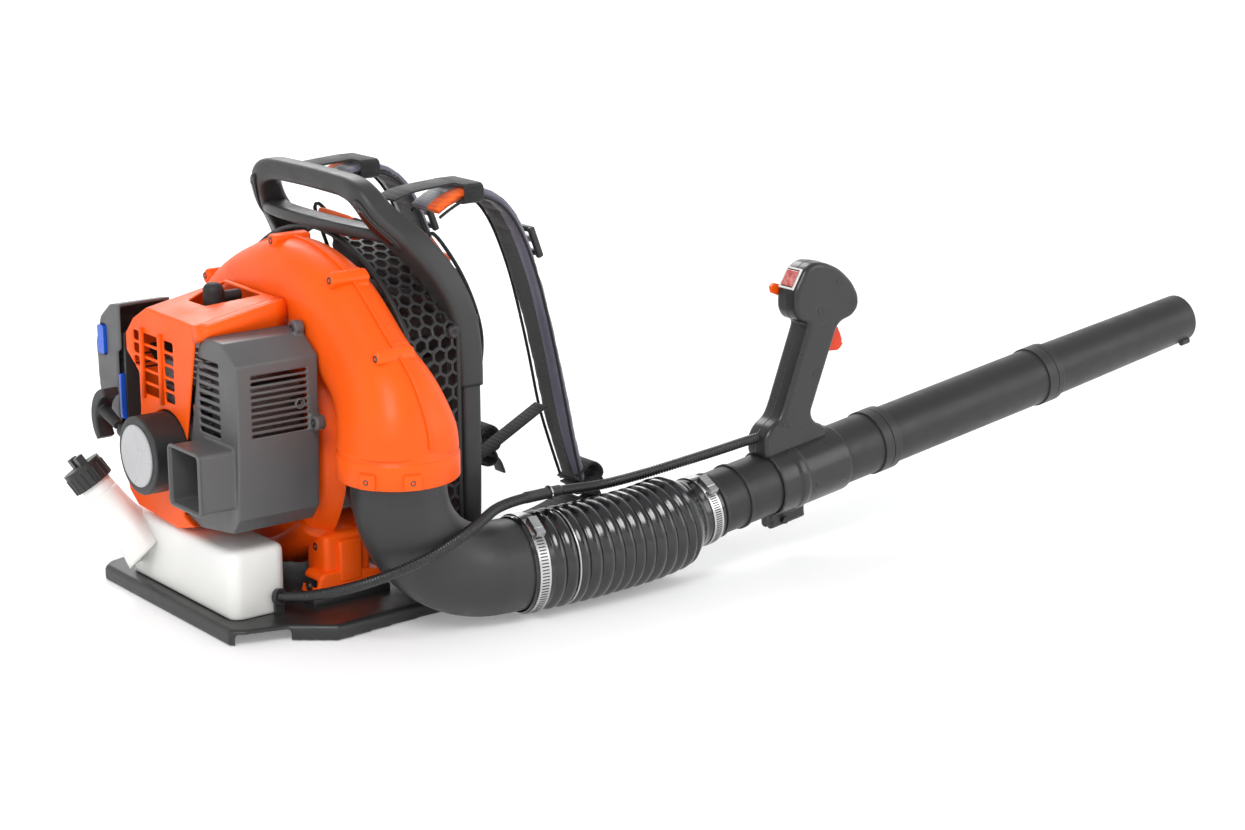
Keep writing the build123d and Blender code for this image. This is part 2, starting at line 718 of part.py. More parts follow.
with BuildPart() as filter_latch:
    with BuildSketch(upright(FILTER_REAR + 2)):
        with Locations((-147, 295)):
            RectangleRounded(15, 34, 3)
    extrude(amount=5)
filter_latch.part.label = "filter_latch"
export_step(filter_latch.part, "parts/filter_latch.step")

with BuildPart() as choke_lever:
    with BuildSketch(side(-110)):
        with Locations((-113, 210)):
            Circle(5)
        with Locations((-114, 235)):
            RectangleRounded(9, 50, 2)
    extrude(amount=5)
choke_lever.part.label = "choke_lever"
export_step(choke_lever.part, "parts/choke_lever.step")

# ---------------------------------------------------------------- starter
STARTER_REAR = -155.0
STARTER_RADIUS = 45.5
ROPE_Y = -142.0
ROPE_RADIUS = 1.9
ROPE_SLOPE = 18.0
ROPE_HEIGHT = 15.0
rope_dir = Vector(-cos(radians(ROPE_SLOPE)), 0, sin(radians(ROPE_SLOPE)))
guide_point = Vector(-57, ROPE_Y, SHAFT_Z + ROPE_HEIGHT)


def rope_plane(distance):
    """A plane across the starter rope, at a distance from the guide; local x is across the T-bar."""
    return Plane(origin=guide_point + rope_dir * distance, x_dir=(0, 1, 0), z_dir=rope_dir)


with BuildPart() as starter_housing:
    with BuildSketch(upright(SHROUD_REAR + 4)):
        with Locations((0, SHAFT_Z)):
            Circle(STARTER_RADIUS)
    extrude(amount=SHROUD_REAR + 4 - STARTER_REAR)
    with BuildSketch(upright(SHROUD_REAR + 4)):
        with Locations((0, SHAFT_Z)):
            Circle(STARTER_RADIUS - 3)
    extrude(amount=SHROUD_REAR + 4 - STARTER_REAR - 3, mode=Mode.SUBTRACT)
    # axle post for the pulley
    with BuildSketch(upright(STARTER_REAR + 2)):
        with Locations((0, SHAFT_Z)):
            Circle(6)
    extrude(amount=-22)
    # rope guide
    with BuildSketch(rope_plane(-18)):
        Circle(8)
    extrude(amount=22)
    with BuildSketch(rope_plane(-22)):
        Circle(ROPE_RADIUS + 0.5)
    extrude(amount=40, mode=Mode.SUBTRACT)
starter_housing.part.label = "starter_housing"
export_step(starter_housing.part, "parts/starter_housing.step")

with BuildPart() as starter_disc:
    with BuildSketch(upright(STARTER_REAR)):
        with Locations((0, SHAFT_Z)):
            Circle(36)
    extrude(amount=2.5)
    chamfer(starter_disc.faces().sort_by(Axis.Y)[0].edges(), 1)
starter_disc.part.label = "starter_disc"
export_step(starter_disc.part, "parts/starter_disc.step")

PULLEY_RADIUS = 24.0
with BuildPart() as starter_pulley:
    with BuildSketch(upright(ROPE_Y + 5)):
        with Locations((0, SHAFT_Z)):
            Circle(PULLEY_RADIUS + 5)
    extrude(amount=10)
    with BuildSketch(upright(ROPE_Y + 3)):
        with Locations((0, SHAFT_Z)):
            Circle(PULLEY_RADIUS + 6)
            Circle(PULLEY_RADIUS, mode=Mode.SUBTRACT)
    extrude(amount=6, mode=Mode.SUBTRACT)
    with BuildSketch(upright(ROPE_Y + 5)):
        with Locations((0, SHAFT_Z)):
            Circle(6.05)
    extrude(amount=10, mode=Mode.SUBTRACT)
starter_pulley.part.label = "starter_pulley"
export_step(starter_pulley.part, "parts/starter_pulley.step")

GRIP_START = 14.0
with BuildPart() as starter_grip:
    # stem
    with BuildSketch(rope_plane(GRIP_START)):
        Circle(6)
    with BuildSketch(rope_plane(GRIP_START + 36)):
        Circle(8)
    loft()
    # curved bar
    bar_plane = Plane(origin=guide_point + rope_dir * (GRIP_START + 36), x_dir=rope_dir, z_dir=(0, -1, 0))
    with BuildSketch(bar_plane.offset(-10)):
        with BuildLine():
            outer = ThreePointArc((-8, -34), (14, 0), (-8, 34))
            Line(outer @ 1, (-14, 27))
            inner = ThreePointArc((-14, 27), (0, 0), (-14, -27))
            Line(inner @ 1, outer @ 0)
        make_face()
    extrude(amount=20)
    with BuildSketch(rope_plane(GRIP_START - 1)):
        Circle(ROPE_RADIUS)
    extrude(amount=12, mode=Mode.SUBTRACT)
starter_grip.part.label = "starter_grip"
export_step(starter_grip.part, "parts/starter_grip.step")

with BuildPart() as starter_rope:
    with BuildSketch(rope_plane(5)):
        Circle(ROPE_RADIUS)
    extrude(amount=GRIP_START - 5 + 10)
starter_rope.part.label = "starter_rope"
export_step(starter_rope.part, "parts/starter_rope.step")

# ---------------------------------------------------------------- fuel tank and cap
TANK_FLOOR = 17.0
TANK_TOP = 97.0
CAP_RADIUS = 24.0
NECK_RADIUS = 19.4
NECK_LENGTH = 86.0
cap_axis = Vector(-0.36, -0.45, 0.817).normalized()
cap_centre = Vector(-126, -158, 142)


def cap_plane(height):
    """A plane across the filler neck, height above the middle of the cap."""
    return Plane(origin=cap_centre + cap_axis * height, z_dir=cap_axis)


with BuildPart() as fuel_tank:
    with BuildSketch(Plane.XY.offset(TANK_FLOOR)):
        with Locations((6, -76)):
            RectangleRounded(244, 72, 14)
    extrude(amount=TANK_TOP - TANK_FLOOR)
    fillet(fuel_tank.faces().sort_by(Axis.Z)[-1].edges(), 8)
    with BuildSketch(cap_plane(-24)):
        Circle(20)
    extrude(amount=-NECK_LENGTH)
    with BuildSketch(cap_plane(-25)):
        Circle(NECK_RADIUS)
    extrude(amount=28)
    with BuildSketch(Plane.XY.offset(TANK_FLOOR + SHELL_WALL)):
        with Locations((6, -76)):
            RectangleRounded(238, 66, 11)
    extrude(amount=TANK_TOP - TANK_FLOOR - 2 * SHELL_WALL, mode=Mode.SUBTRACT)
    with BuildSketch(cap_plane(-24 - NECK_LENGTH + 12)):
        Circle(16)
    extrude(amount=NECK_LENGTH + 30, mode=Mode.SUBTRACT)
fuel_tank.part.label = "fuel_tank"
export_step(fuel_tank.part, "parts/fuel_tank.step")

with BuildPart() as fuel_cap:
    with BuildSketch(cap_plane(-14)):
        Circle(CAP_RADIUS)
    extrude(amount=26)
    # grip ribs
    with BuildSketch(cap_plane(-14)):
        with PolarLocations(CAP_RADIUS, 18):
            Circle(1.2)
    extrude(amount=20)
    # two lugs on top
    with BuildSketch(cap_plane(12)):
        with Locations((0, 14), (0, -14)):
            Rectangle(9, 13)
    extrude(amount=12)
    with BuildSketch(cap_plane(-15)):
        Circle(NECK_RADIUS + 0.3)
    extrude(amount=21, mode=Mode.SUBTRACT)
fuel_cap.part.label = "fuel_cap"
export_step(fuel_cap.part, "parts/fuel_cap.step")

# ---------------------------------------------------------------- feet, rubber mounts, screens
with BuildPart() as foot_bracket:
    with BuildSketch(side(98)):
        with BuildLine():
            Polyline((-8, BASE_HEIGHT), (84, BASE_HEIGHT), (84, 44), (60, 48), (52, 52), (6, 52), (0, 48),
                     close=True)
        make_face()
    extrude(amount=36)
    with BuildSketch(side(98)):
        with Locations((38, 33)):
            Rectangle(80, 18)
    extrude(amount=30, mode=Mode.SUBTRACT)
    mirror(about=Plane.YZ)
foot_bracket.part.label = "foot_bracket"
export_step(foot_bracket.part, "parts/foot_bracket.step")

mount_places = [(-100, 290), (100, 290), (-90, 85), (90, 85)]
with BuildPart() as vibration_mounts:
    with BuildSketch(upright(FRAME_REAR + 22)):
        with Locations(*mount_places):
            Circle(13)
    extrude(amount=FRAME_REAR + 22 - FAN_FRONT)
vibration_mounts.part.label = "vibration_mounts"
export_step(vibration_mounts.part, "parts/vibration_mounts.step")

SCREEN_REAR = 98.0
SCREEN_FRONT = 156.0
ARCH_FRONT = 142.0
SCREEN_RADIUS = 235.0
SCREEN_X = 190.0
SCREEN_SPLIT_Z = 329.0
SCREEN_WALL = 3.0
with BuildPart() as intake_screens:
    # side screens with hexagonal holes
    for side_x in (SCREEN_X - SCREEN_WALL, -SCREEN_X):
        with BuildSketch(side(side_x)):
            with Locations(((SCREEN_REAR + SCREEN_FRONT) / 2, 178)):
                Rectangle(SCREEN_FRONT - SCREEN_REAR, 296)
                with HexLocations(8, 3, 19):
                    RegularPolygon(6.4, 6, mode=Mode.SUBTRACT)
        extrude(amount=SCREEN_WALL)
    # arched screen over the top of the fan housing
    with BuildSketch(shaft_plane(SCREEN_REAR)):
        Circle(SCREEN_RADIUS)
        Circle(SCREEN_RADIUS - SCREEN_WALL, mode=Mode.SUBTRACT)
        with Locations((0, SCREEN_SPLIT_Z - SHAFT_Z + 100)):
            Rectangle(400, 200, mode=Mode.INTERSECT)
    extrude(amount=ARCH_FRONT - SCREEN_REAR)
    with BuildSketch(Plane.XY.offset(SHAFT_Z + 130)):
        with Locations((0, (SCREEN_REAR + ARCH_FRONT) / 2)):
            with HexLocations(8, 13, 2):
                RegularPolygon(6.4, 6)
    extrude(amount=120, mode=Mode.SUBTRACT)
intake_screens.part.label = "intake_screens"
export_step(intake_screens.part, "parts/intake_screens.step")

# ---------------------------------------------------------------- elbow and bellows
elbow_route = [
    (DUCT_X, FAN_MIDDLE, COLLAR_TOP_Z - 3),
    (DUCT_X, FAN_MIDDLE, DUCT_FLOOR_Z),
    (256, 202, DUCT_FLOOR_Z),
]
with BuildPart() as elbow:
    with BuildLine() as elbow_line:
        FilletPolyline(*elbow_route, radius=118)
    with BuildSketch(Plane(origin=elbow_line.line @ 0, z_dir=elbow_line.line % 0)):
        Circle(DUCT_RADIUS - FIT_GAP)
        Circle(DUCT_RADIUS - FIT_GAP - DUCT_WALL, mode=Mode.SUBTRACT)
    sweep(path=elbow_line.line)
elbow.part.label = "elbow"
export_step(elbow.part, "parts/elbow.step")

BELLOWS_ROOT = 53.4
BELLOWS_WALL = 3.5
RIDGE_RADIUS = 4.8
CUFF_RADIUS = 57.0
RIDGE_PITCH = 15.5
bellows_split = Vector(262, 318, DUCT_FLOOR_Z + 2)
bellows_end = Vector(TUBE_X, 420, tube_z(420))
rear_route = [(254, 184, DUCT_FLOOR_Z), (262, 250, DUCT_FLOOR_Z), bellows_split]
front_route = [bellows_split, (262, 369, DUCT_FLOOR_Z + 3.5), bellows_end, Vector(TUBE_X, 466, tube_z(466))]


def bellows_part(route, first_ridge, ridges, tail):
    """Corrugated sleeve along a route: a ruled loft through roots and crests, then the bore.

    tail is a list of (distance from the far end, outer radius, inner radius) for a plain end.
    """
    with BuildPart() as sleeve:
        with BuildLine():
            axis_line = FilletPolyline(*route, radius=240)
        stations = [(0, BELLOWS_ROOT)]
        for ridge in range(ridges):
            crest = first_ridge + ridge * RIDGE_PITCH
            stations += [(crest - 6, BELLOWS_ROOT), (crest - 1.5, BELLOWS_ROOT + RIDGE_RADIUS),
                         (crest + 1.5, BELLOWS_ROOT + RIDGE_RADIUS), (crest + 6, BELLOWS_ROOT)]
        outline = [(distance, radius, BELLOWS_ROOT - BELLOWS_WALL) for distance, radius in stations]
        outline += [(axis_line.length - back, outer, inner) for back, outer, inner in tail]
        for column, mode in ((1, Mode.ADD), (2, Mode.SUBTRACT)):
            for station in outline:
                spot = station[0] / axis_line.length
                with BuildSketch(Plane(origin=axis_line @ spot, x_dir=(0, 0, 1), z_dir=axis_line % spot)):
                    Circle(station[column])
            loft(ruled=True, mode=mode)
    return sleeve.part


with BuildPart() as bellows_rear:
    add(bellows_part(rear_route, 34, 7, [(0, BELLOWS_ROOT, BELLOWS_ROOT - BELLOWS_WALL)]))
    # cuff over the elbow
    with BuildSketch(Plane(origin=(254, 184, DUCT_FLOOR_Z), z_dir=(8, 66, 0))):
        Circle(CUFF_RADIUS)
        Circle(BELLOWS_ROOT - BELLOWS_WALL, mode=Mode.SUBTRACT)
    extrude(amount=24)
    with BuildSketch(Plane(origin=(254, 184, DUCT_FLOOR_Z), z_dir=(8, 66, 0))):
        Circle(DUCT_RADIUS + 0.2)
    extrude(amount=21, mode=Mode.SUBTRACT)
bellows_rear.part.label = "bellows_rear"
export_step(bellows_rear.part, "parts/bellows_rear.step")

# the cone and cuff that take the front half down to the lower tube
front_tail = [
    (46.5, BELLOWS_ROOT, BELLOWS_ROOT - BELLOWS_WALL),
    (26, LOWER_TUBE_RADIUS + 3, LOWER_TUBE_RADIUS + FIT_GAP),
    (0, LOWER_TUBE_RADIUS + 3, LOWER_TUBE_RADIUS + FIT_GAP),
]
with BuildPart() as bellows_front:
    add(bellows_part(front_route, 8, 6, front_tail))
bellows_front.part.label = "bellows_front"
export_step(bellows_front.part, "parts/bellows_front.step")

CLAMP_WIDTH = 14.2
CLAMP_THICKNESS = 1.2


def hose_clamp(band_plane, radius, screw_angle):
    """A worm-drive hose clamp: band, worm housing and screw."""
    with BuildPart() as clamp:
        with BuildSketch(band_plane):
            Circle(radius + CLAMP_THICKNESS)
            Circle(radius, mode=Mode.SUBTRACT)
        extrude(amount=CLAMP_WIDTH)
        with BuildSketch(band_plane.offset(1.5)):
            with PolarLocations(radius + 5.5, 1, screw_angle):
                RectangleRounded(10, 20, 2)
                with Locations((1.5, 13)):
                    Rectangle(6, 8)
        extrude(amount=CLAMP_WIDTH - 3)
    return clamp.part


cuff_plane = Plane(origin=(254.5, 188, DUCT_FLOOR_Z), x_dir=(0, 0, 1), z_dir=(8, 66, 0))
with BuildPart() as clamp_rear:
    add(hose_clamp(cuff_plane, CUFF_RADIUS + 0.2, 30))
clamp_rear.part.label = "clamp_rear"
export_step(clamp_rear.part, "parts/clamp_rear.step")

with BuildPart() as clamp_front:
    add(hose_clamp(tube_plane(447), LOWER_TUBE_RADIUS + 3.3, 120))
clamp_front.part.label = "clamp_front"
export_step(clamp_front.part, "parts/clamp_front.step")

# ---------------------------------------------------------------- blower tube
LOWER_START = 434.0
LOWER_END = 745.0
MID_END = 1046.0
TIP_END = 1328.0
SOCKET_DEPTH = 34.0
with BuildPart() as lower_tube:
    with BuildSketch(tube_plane(LOWER_START)):
        Circle(LOWER_TUBE_RADIUS)
        Circle(LOWER_TUBE_RADIUS - TUBE_WALL, mode=Mode.SUBTRACT)
    extrude(amount=along_tube(LOWER_START, LOWER_END))
    # stop rings at the cuff and at the bayonet end
    for ring_y, ring_length in ((470, 5), (508, 4), (LOWER_END - 14, 14)):
        with BuildSketch(tube_plane(ring_y)):
            Circle(LOWER_TUBE_RADIUS + 2.2)
            Circle(LOWER_TUBE_RADIUS - 0.5, mode=Mode.SUBTRACT)
        extrude(amount=ring_length)
lower_tube.part.label = "lower_tube"
export_step(lower_tube.part, "parts/lower_tube.step")

with BuildPart() as mid_tube:
    # spigot inside the lower tube, collar, barrel
    with BuildSketch(tube_plane(LOWER_END - SOCKET_DEPTH)):
        Circle(LOWER_TUBE_RADIUS - TUBE_WALL - 0.1)
        Circle(LOWER_TUBE_RADIUS - 2 * TUBE_WALL, mode=Mode.SUBTRACT)
    extrude(amount=SOCKET_DEPTH + 6)
    with BuildSketch(tube_plane(LOWER_END + 1)):
        Circle(LOWER_TUBE_RADIUS + 2.2)
        Circle(LOWER_TUBE_RADIUS - 2 * TUBE_WALL, mode=Mode.SUBTRACT)
    extrude(amount=12)
    with BuildSketch(tube_plane(LOWER_END + 12)):
        Circle(MID_TUBE_RADIUS)
        Circle(MID_TUBE_RADIUS - TUBE_WALL, mode=Mode.SUBTRACT)
    extrude(amount=along_tube(LOWER_END + 12, MID_END))
    with BuildSketch(tube_plane(MID_END - 16)):
        Circle(MID_TUBE_RADIUS + 2)
        Circle(MID_TUBE_RADIUS - 1, mode=Mode.SUBTRACT)
    extrude(amount=along_tube(MID_END - 16, MID_END))
mid_tube.part.label = "mid_tube"
export_step(mid_tube.part, "parts/mid_tube.step")

with BuildPart() as nozzle:
    with BuildSketch(tube_plane(MID_END - SOCKET_DEPTH)):
        Circle(MID_TUBE_RADIUS - TUBE_WALL - 0.1)
        Circle(MID_TUBE_RADIUS - 2 * TUBE_WALL, mode=Mode.SUBTRACT)
    extrude(amount=SOCKET_DEPTH + 6)
    with BuildSketch(tube_plane(MID_END + 1)):
        Circle(MID_TUBE_RADIUS + 2)
        Circle(MID_TUBE_RADIUS - 2 * TUBE_WALL, mode=Mode.SUBTRACT)
    extrude(amount=10)
    with BuildSketch(tube_plane(MID_END + 10)):
        Circle(NOZZLE_RADIUS + 2)
    with BuildSketch(tube_plane(TIP_END)):
        Circle(NOZZLE_RADIUS - 1)
    loft()
    # hanging peg near the tip
    with BuildSketch(tube_plane(TIP_END - 22)):
        with Locations((-NOZZLE_RADIUS * 0.7, -NOZZLE_RADIUS * 0.76)):
            Circle(4.5)
    extrude(amount=14)
    with BuildSketch(tube_plane(MID_END + 8)):
        Circle(NOZZLE_RADIUS + 2 - TUBE_WALL)
    with BuildSketch(tube_plane(TIP_END + 1)):
        Circle(NOZZLE_RADIUS - 1 - TUBE_WALL)
    loft(mode=Mode.SUBTRACT)
nozzle.part.label = "nozzle"
export_step(nozzle.part, "parts/nozzle.step")

# ---------------------------------------------------------------- control handle
SLEEVE_START = 560.0
SLEEVE_END = 672.0
SLEEVE_RADIUS = LOWER_TUBE_RADIUS + 3.6
with BuildPart() as handle_sleeve:
    with BuildSketch(tube_plane(SLEEVE_START)):
        Circle(SLEEVE_RADIUS)
    extrude(amount=along_tube(SLEEVE_START, SLEEVE_END))
    with BuildSketch(tube_plane(590)):
        Circle(SLEEVE_RADIUS + 1.6)
    extrude(amount=10)
    # clamping lug below
    with BuildSketch(tube_plane(SLEEVE_START)):
        with Locations((0, -SLEEVE_RADIUS - 6)):
            RectangleRounded(22, 20, 4)
    extrude(amount=54)
    with BuildSketch(tube_plane(SLEEVE_START - 1)):
        Circle(LOWER_TUBE_RADIUS + FIT_GAP)
        with Locations((0, -SLEEVE_RADIUS - 6)):
            Rectangle(2.5, 30)
    extrude(amount=130, mode=Mode.SUBTRACT)
handle_sleeve.part.label = "handle_sleeve"
export_step(handle_sleeve.part, "parts/handle_sleeve.step")

HANDLE_HALF = 18.5
HANDLE_WALL = 2.6
handle_profile = [(548, 128), (548, 150), (556, 162), (572, 172), (579, 186), (617, 286),
                  (600, 292), (593, 304), (593, 327), (610, 355), (624, 361), (642, 359),
                  (666, 349), (688, 330), (699, 312), (700, 297), (690, 286), (666, 280),
                  (623, 172), (630, 160), (648, 152), (652, 142)]
handle_core = [(553, 132), (553, 148), (560, 158), (575, 168), (583, 184), (623, 289), (604, 296),
               (597, 306), (597, 325), (613, 351), (625, 357), (641, 355), (664, 345), (685, 327),
               (695, 311), (696, 299), (688, 291), (664, 284), (618, 173), (626, 158), (645, 149),
               (648, 143)]
rocker_plane = Plane(origin=(TUBE_X, 602, 341), x_dir=(1, 0, 0), z_dir=(0, -0.855, 0.519))
trigger_pivot = (652, 292)
screw_places = [(664, 332), (634, 300), (690, 303), (628, 222), (580, 165)]
SCREW_HEAD_RADIUS = 2.9


def handle_shell(outer_x, direction):
    """Half of the handle's housing, from the middle plane out to outer_x; direction is +1 right, -1 left."""
    with BuildPart() as shell:
        with BuildSketch(side(TUBE_X)):
            with BuildLine():
                Polyline(*handle_profile, close=True)
            make_face()
        extrude(amount=HANDLE_HALF * direction)
        fillet(shell.faces().filter_by(Axis.X).sort_by(Axis.X)[-1 if direction > 0 else 0].edges(), 4)
        with BuildSketch(side(TUBE_X)):
            with BuildLine():
                Polyline(*handle_core, close=True)
            make_face()
        extrude(amount=(HANDLE_HALF - HANDLE_WALL) * direction, mode=Mode.SUBTRACT)
        # seat on the clamp sleeve, slot for the trigger, window for the switch, conduit entry
        with BuildSketch(tube_plane(SLEEVE_START - 20)):
            Circle(SLEEVE_RADIUS + 2)
        extrude(amount=160, mode=Mode.SUBTRACT)
        with BuildSketch(side(TUBE_X - 7)):
            with Locations((662, 266)):
                Rectangle(52, 46)
        extrude(amount=14, mode=Mode.SUBTRACT)
        with BuildSketch(rocker_plane.offset(-8)):
            Rectangle(21.5, 23.5)
        extrude(amount=20, mode=Mode.SUBTRACT)
        with BuildSketch(upright(560)):
            with Locations((TUBE_X, 150)):
                Circle(7)
        extrude(amount=20, mode=Mode.SUBTRACT)
    return shell.part


with BuildPart() as handle_shell_left:
    add(handle_shell(TUBE_X - HANDLE_HALF, -1))
handle_shell_left.part.label = "handle_shell_left"
export_step(handle_shell_left.part, "parts/handle_shell_left.step")

with BuildPart() as handle_shell_right:
    add(handle_shell(TUBE_X + HANDLE_HALF, 1))
    with BuildSketch(side(TUBE_X)):
        with Locations(*screw_places):
            Circle(SCREW_HEAD_RADIUS + 0.1)
    extrude(amount=HANDLE_HALF + 1, mode=Mode.SUBTRACT)
handle_shell_right.part.label = "handle_shell_right"
export_step(handle_shell_right.part, "parts/handle_shell_right.step")

with BuildPart() as handle_screws:
    with BuildSketch(side(TUBE_X + HANDLE_HALF - 5)):
        with Locations(*screw_places):
            Circle(SCREW_HEAD_RADIUS)
    extrude(amount=3)
    # clamp screw through the sleeve's lug
    with BuildSketch(side(TUBE_X + 11)):
        with Locations((586, tube_z(586) - SLEEVE_RADIUS - 9)):
            RegularPolygon(5, 6)
    extrude(amount=4)
handle_screws.part.label = "handle_screws"
export_step(handle_screws.part, "parts/handle_screws.step")

with BuildPart() as trigger:
    with BuildSketch(side(TUBE_X - 6)):
        with BuildLine():
            Polyline((644, 290), (648, 298), (656, 298), (660, 290), (668, 279), (677, 251),
                     (664, 245), (650, 243), (645, 262), close=True)
        make_face()
        with Locations(trigger_pivot):
            Circle(2.05, mode=Mode.SUBTRACT)
    extrude(amount=12)
trigger.part.label = "trigger"
export_step(trigger.part, "parts/trigger.step")

with BuildPart() as trigger_pin:
    with BuildSketch(side(TUBE_X - HANDLE_HALF + HANDLE_WALL)):
        with Locations(trigger_pivot):
            Circle(2)
    extrude(amount=2 * (HANDLE_HALF - HANDLE_WALL))
trigger_pin.part.label = "trigger_pin"
export_step(trigger_pin.part, "parts/trigger_pin.step")

LOCK_PIVOT = (614, 318)
with BuildPart() as throttle_lock_lever:
    with BuildSketch(side(TUBE_X - HANDLE_HALF - 5.3)):
        with Locations(LOCK_PIVOT):
            Circle(8)
        with BuildLine():
            Polyline((614, 326), (614, 311), (588, 322), (586, 330), (592, 334), close=True)
        make_face()
    extrude(amount=5)
throttle_lock_lever.part.label = "throttle_lock_lever"
export_step(throttle_lock_lever.part, "parts/throttle_lock_lever.step")

with BuildPart() as rocker_bezel:
    with BuildSketch(rocker_plane.offset(1.2)):
        Rectangle(26, 28)
        Rectangle(21.5, 23.5, mode=Mode.SUBTRACT)
    extrude(amount=2)
rocker_bezel.part.label = "rocker_bezel"
export_step(rocker_bezel.part, "parts/rocker_bezel.step")

with BuildPart() as stop_rocker:
    with BuildSketch(rocker_plane.offset(-4)):
        Rectangle(20, 21)
    extrude(amount=8)
    fillet(stop_rocker.edges().filter_by(Axis.X), 2)
stop_rocker.part.label = "stop_rocker"
export_step(stop_rocker.part, "parts/stop_rocker.step")

# ---------------------------------------------------------------- throttle conduit
CONDUIT_RADIUS = 6.0
clip_point = (242, 224, 131)
rear_conduit = [(137, -54, 38), (166, -46, 44), (220, -33, 62), (276, -16, 86), (306, 28, 108),
                (302, 76, 122), (285, 118, 130), (257.4, 166.8, 136.5), clip_point]
front_conduit = [clip_point, (228, 276, 126), (222, 332, 119), (230, 388, 124), (244, 440, 134),
                 (253, 492, 142), (258, 540, 149)]


def corner_radii(route):
    """The largest tangent arc for each corner of a route: 0.45 of the shorter run over tan(half turn)."""
    radii = []
    for before, corner, after in zip(route, route[1:], route[2:]):
        run_in = Vector(corner) - Vector(before)
        run_out = Vector(after) - Vector(corner)
        half_turn = radians(run_in.get_angle(run_out)) / 2
        radii.append(0.45 * min(run_in.length, run_out.length) / tan(half_turn))
    return radii


def conduit_part(route):
    """Solid tube of the conduit along its route."""
    radii = corner_radii(route)
    with BuildPart() as tube:
        with BuildLine():
            axis_line = FilletPolyline(*route, radius=radii)
        with BuildSketch(Plane(origin=axis_line @ 0, z_dir=axis_line % 0)):
            Circle(CONDUIT_RADIUS)
        sweep(path=axis_line)
    section = pi * CONDUIT_RADIUS ** 2
    print("conduit radii", [round(r) for r in radii], "length", round(axis_line.length),
          "volume ratio", round(tube.part.volume / (section * axis_line.length), 4))
    return tube.part


with BuildPart() as conduit_rear:
    add(conduit_part(rear_conduit))
conduit_rear.part.label = "conduit_rear"
export_step(conduit_rear.part, "parts/conduit_rear.step")

with BuildPart() as conduit_front:
    add(conduit_part(front_conduit))
conduit_front.part.label = "conduit_front"
export_step(conduit_front.part, "parts/conduit_front.step")

gland_dir = Vector(*rear_conduit[1]) - Vector(*rear_conduit[0])
with BuildPart() as conduit_gland:
    with BuildSketch(Plane(origin=rear_conduit[0], z_dir=gland_dir)):
        Circle(10)
    extrude(amount=-6)
    with BuildSketch(Plane.XY.offset(BASE_HEIGHT)):
        with Locations((133, -55)):
            Rectangle(5, 12)
    extrude(amount=16)
conduit_gland.part.label = "conduit_gland"
export_step(conduit_gland.part, "parts/conduit_gland.step")

# the wire ring lies in a valley of the bellows, and its eye holds the conduit
CLIP_WIRE = 1.0
clip_centre = Vector(260.9, 240.85, DUCT_FLOOR_Z)
eye_centre = Vector(237.9, 240.85, 129.4)
eye_direction = (eye_centre - clip_centre).normalized()
with BuildPart() as conduit_clip:
    with Locations(Plane(origin=clip_centre, x_dir=(1, 0, 0), z_dir=(6.5, 66, 0.1)).location):
        Torus(BELLOWS_ROOT + CLIP_WIRE + 0.2, CLIP_WIRE)
    with Locations(Plane(origin=eye_centre, z_dir=(-14, 52, -5)).location):
        Torus(CONDUIT_RADIUS + CLIP_WIRE + 0.8, CLIP_WIRE)
    link_start = clip_centre + eye_direction * (BELLOWS_ROOT + CLIP_WIRE)
    with BuildSketch(Plane(origin=link_start, z_dir=eye_direction)):
        Circle(CLIP_WIRE)
    extrude(amount=12)
conduit_clip.part.label = "conduit_clip"
export_step(conduit_clip.part, "parts/conduit_clip.step")

# ---------------------------------------------------------------- harness
with BuildPart() as back_pad:
    with BuildSketch(side(-126)):
        with BuildLine():
            Polyline((189, 150), (189, 349), (168, 400), (158, 428), (166, 434), (186, 414),
                     (214, 372), (234, 322), (240, 286), (232, 245), (212, 180), (200, 150),
                     close=True)
        make_face()
    extrude(amount=252)
back_pad.part.label = "back_pad"
export_step(back_pad.part, "parts/back_pad.step")

STRAP_THICKNESS = 14.0
strap_route = [(166, 452), (196, 470), (230, 472), (262, 456), (286, 424), (310, 366), (326, 308),
               (340, 250), (351, 196), (364, 146), (381, 92)]
with BuildPart() as shoulder_straps:
    for strap_x in (STRAP_X, -STRAP_X):
        strap_points = [(strap_x, y, z) for y, z in strap_route]
        with BuildLine():
            strap_line = FilletPolyline(*strap_points, radius=corner_radii(strap_points))
        with BuildSketch(Plane(origin=strap_line @ 0, x_dir=(1, 0, 0), z_dir=strap_line % 0)):
            Rectangle(STRAP_WIDTH, STRAP_THICKNESS)
        sweep(path=strap_line)
shoulder_straps.part.label = "shoulder_straps"
export_step(shoulder_straps.part, "parts/shoulder_straps.step")

lifter_route = [(114, 472), (152, 481), (197, 483)]
lower_route = [(376, 74), (338, 60), (284, 54), (232, 60), (189.5, 78)]
middle_route = [(190, 130), (256, 158), (331, 196)]
WEB_THICKNESS = 2.5
with BuildPart() as webbing:
    for strap_x in (STRAP_X, -STRAP_X):
        for route, width in ((lifter_route, 40), (lower_route, 40), (middle_route, 26)):
            web_points = [(strap_x, y, z) for y, z in route]
            with BuildLine():
                web_line = FilletPolyline(*web_points, radius=corner_radii(web_points))
            with BuildSketch(Plane(origin=web_line @ 0, x_dir=(1, 0, 0), z_dir=web_line % 0)):
                Rectangle(width, WEB_THICKNESS)
            sweep(path=web_line)
        # loop of webbing around the strap
        with BuildSketch(upright(228)):
            with Locations((strap_x, 470)):
                Rectangle(STRAP_WIDTH + 6, STRAP_THICKNESS + 11)
                Rectangle(STRAP_WIDTH + 1, STRAP_THICKNESS + 6, mode=Mode.SUBTRACT)
        extrude(amount=28)
webbing.part.label = "webbing"
export_step(webbing.part, "parts/webbing.step")

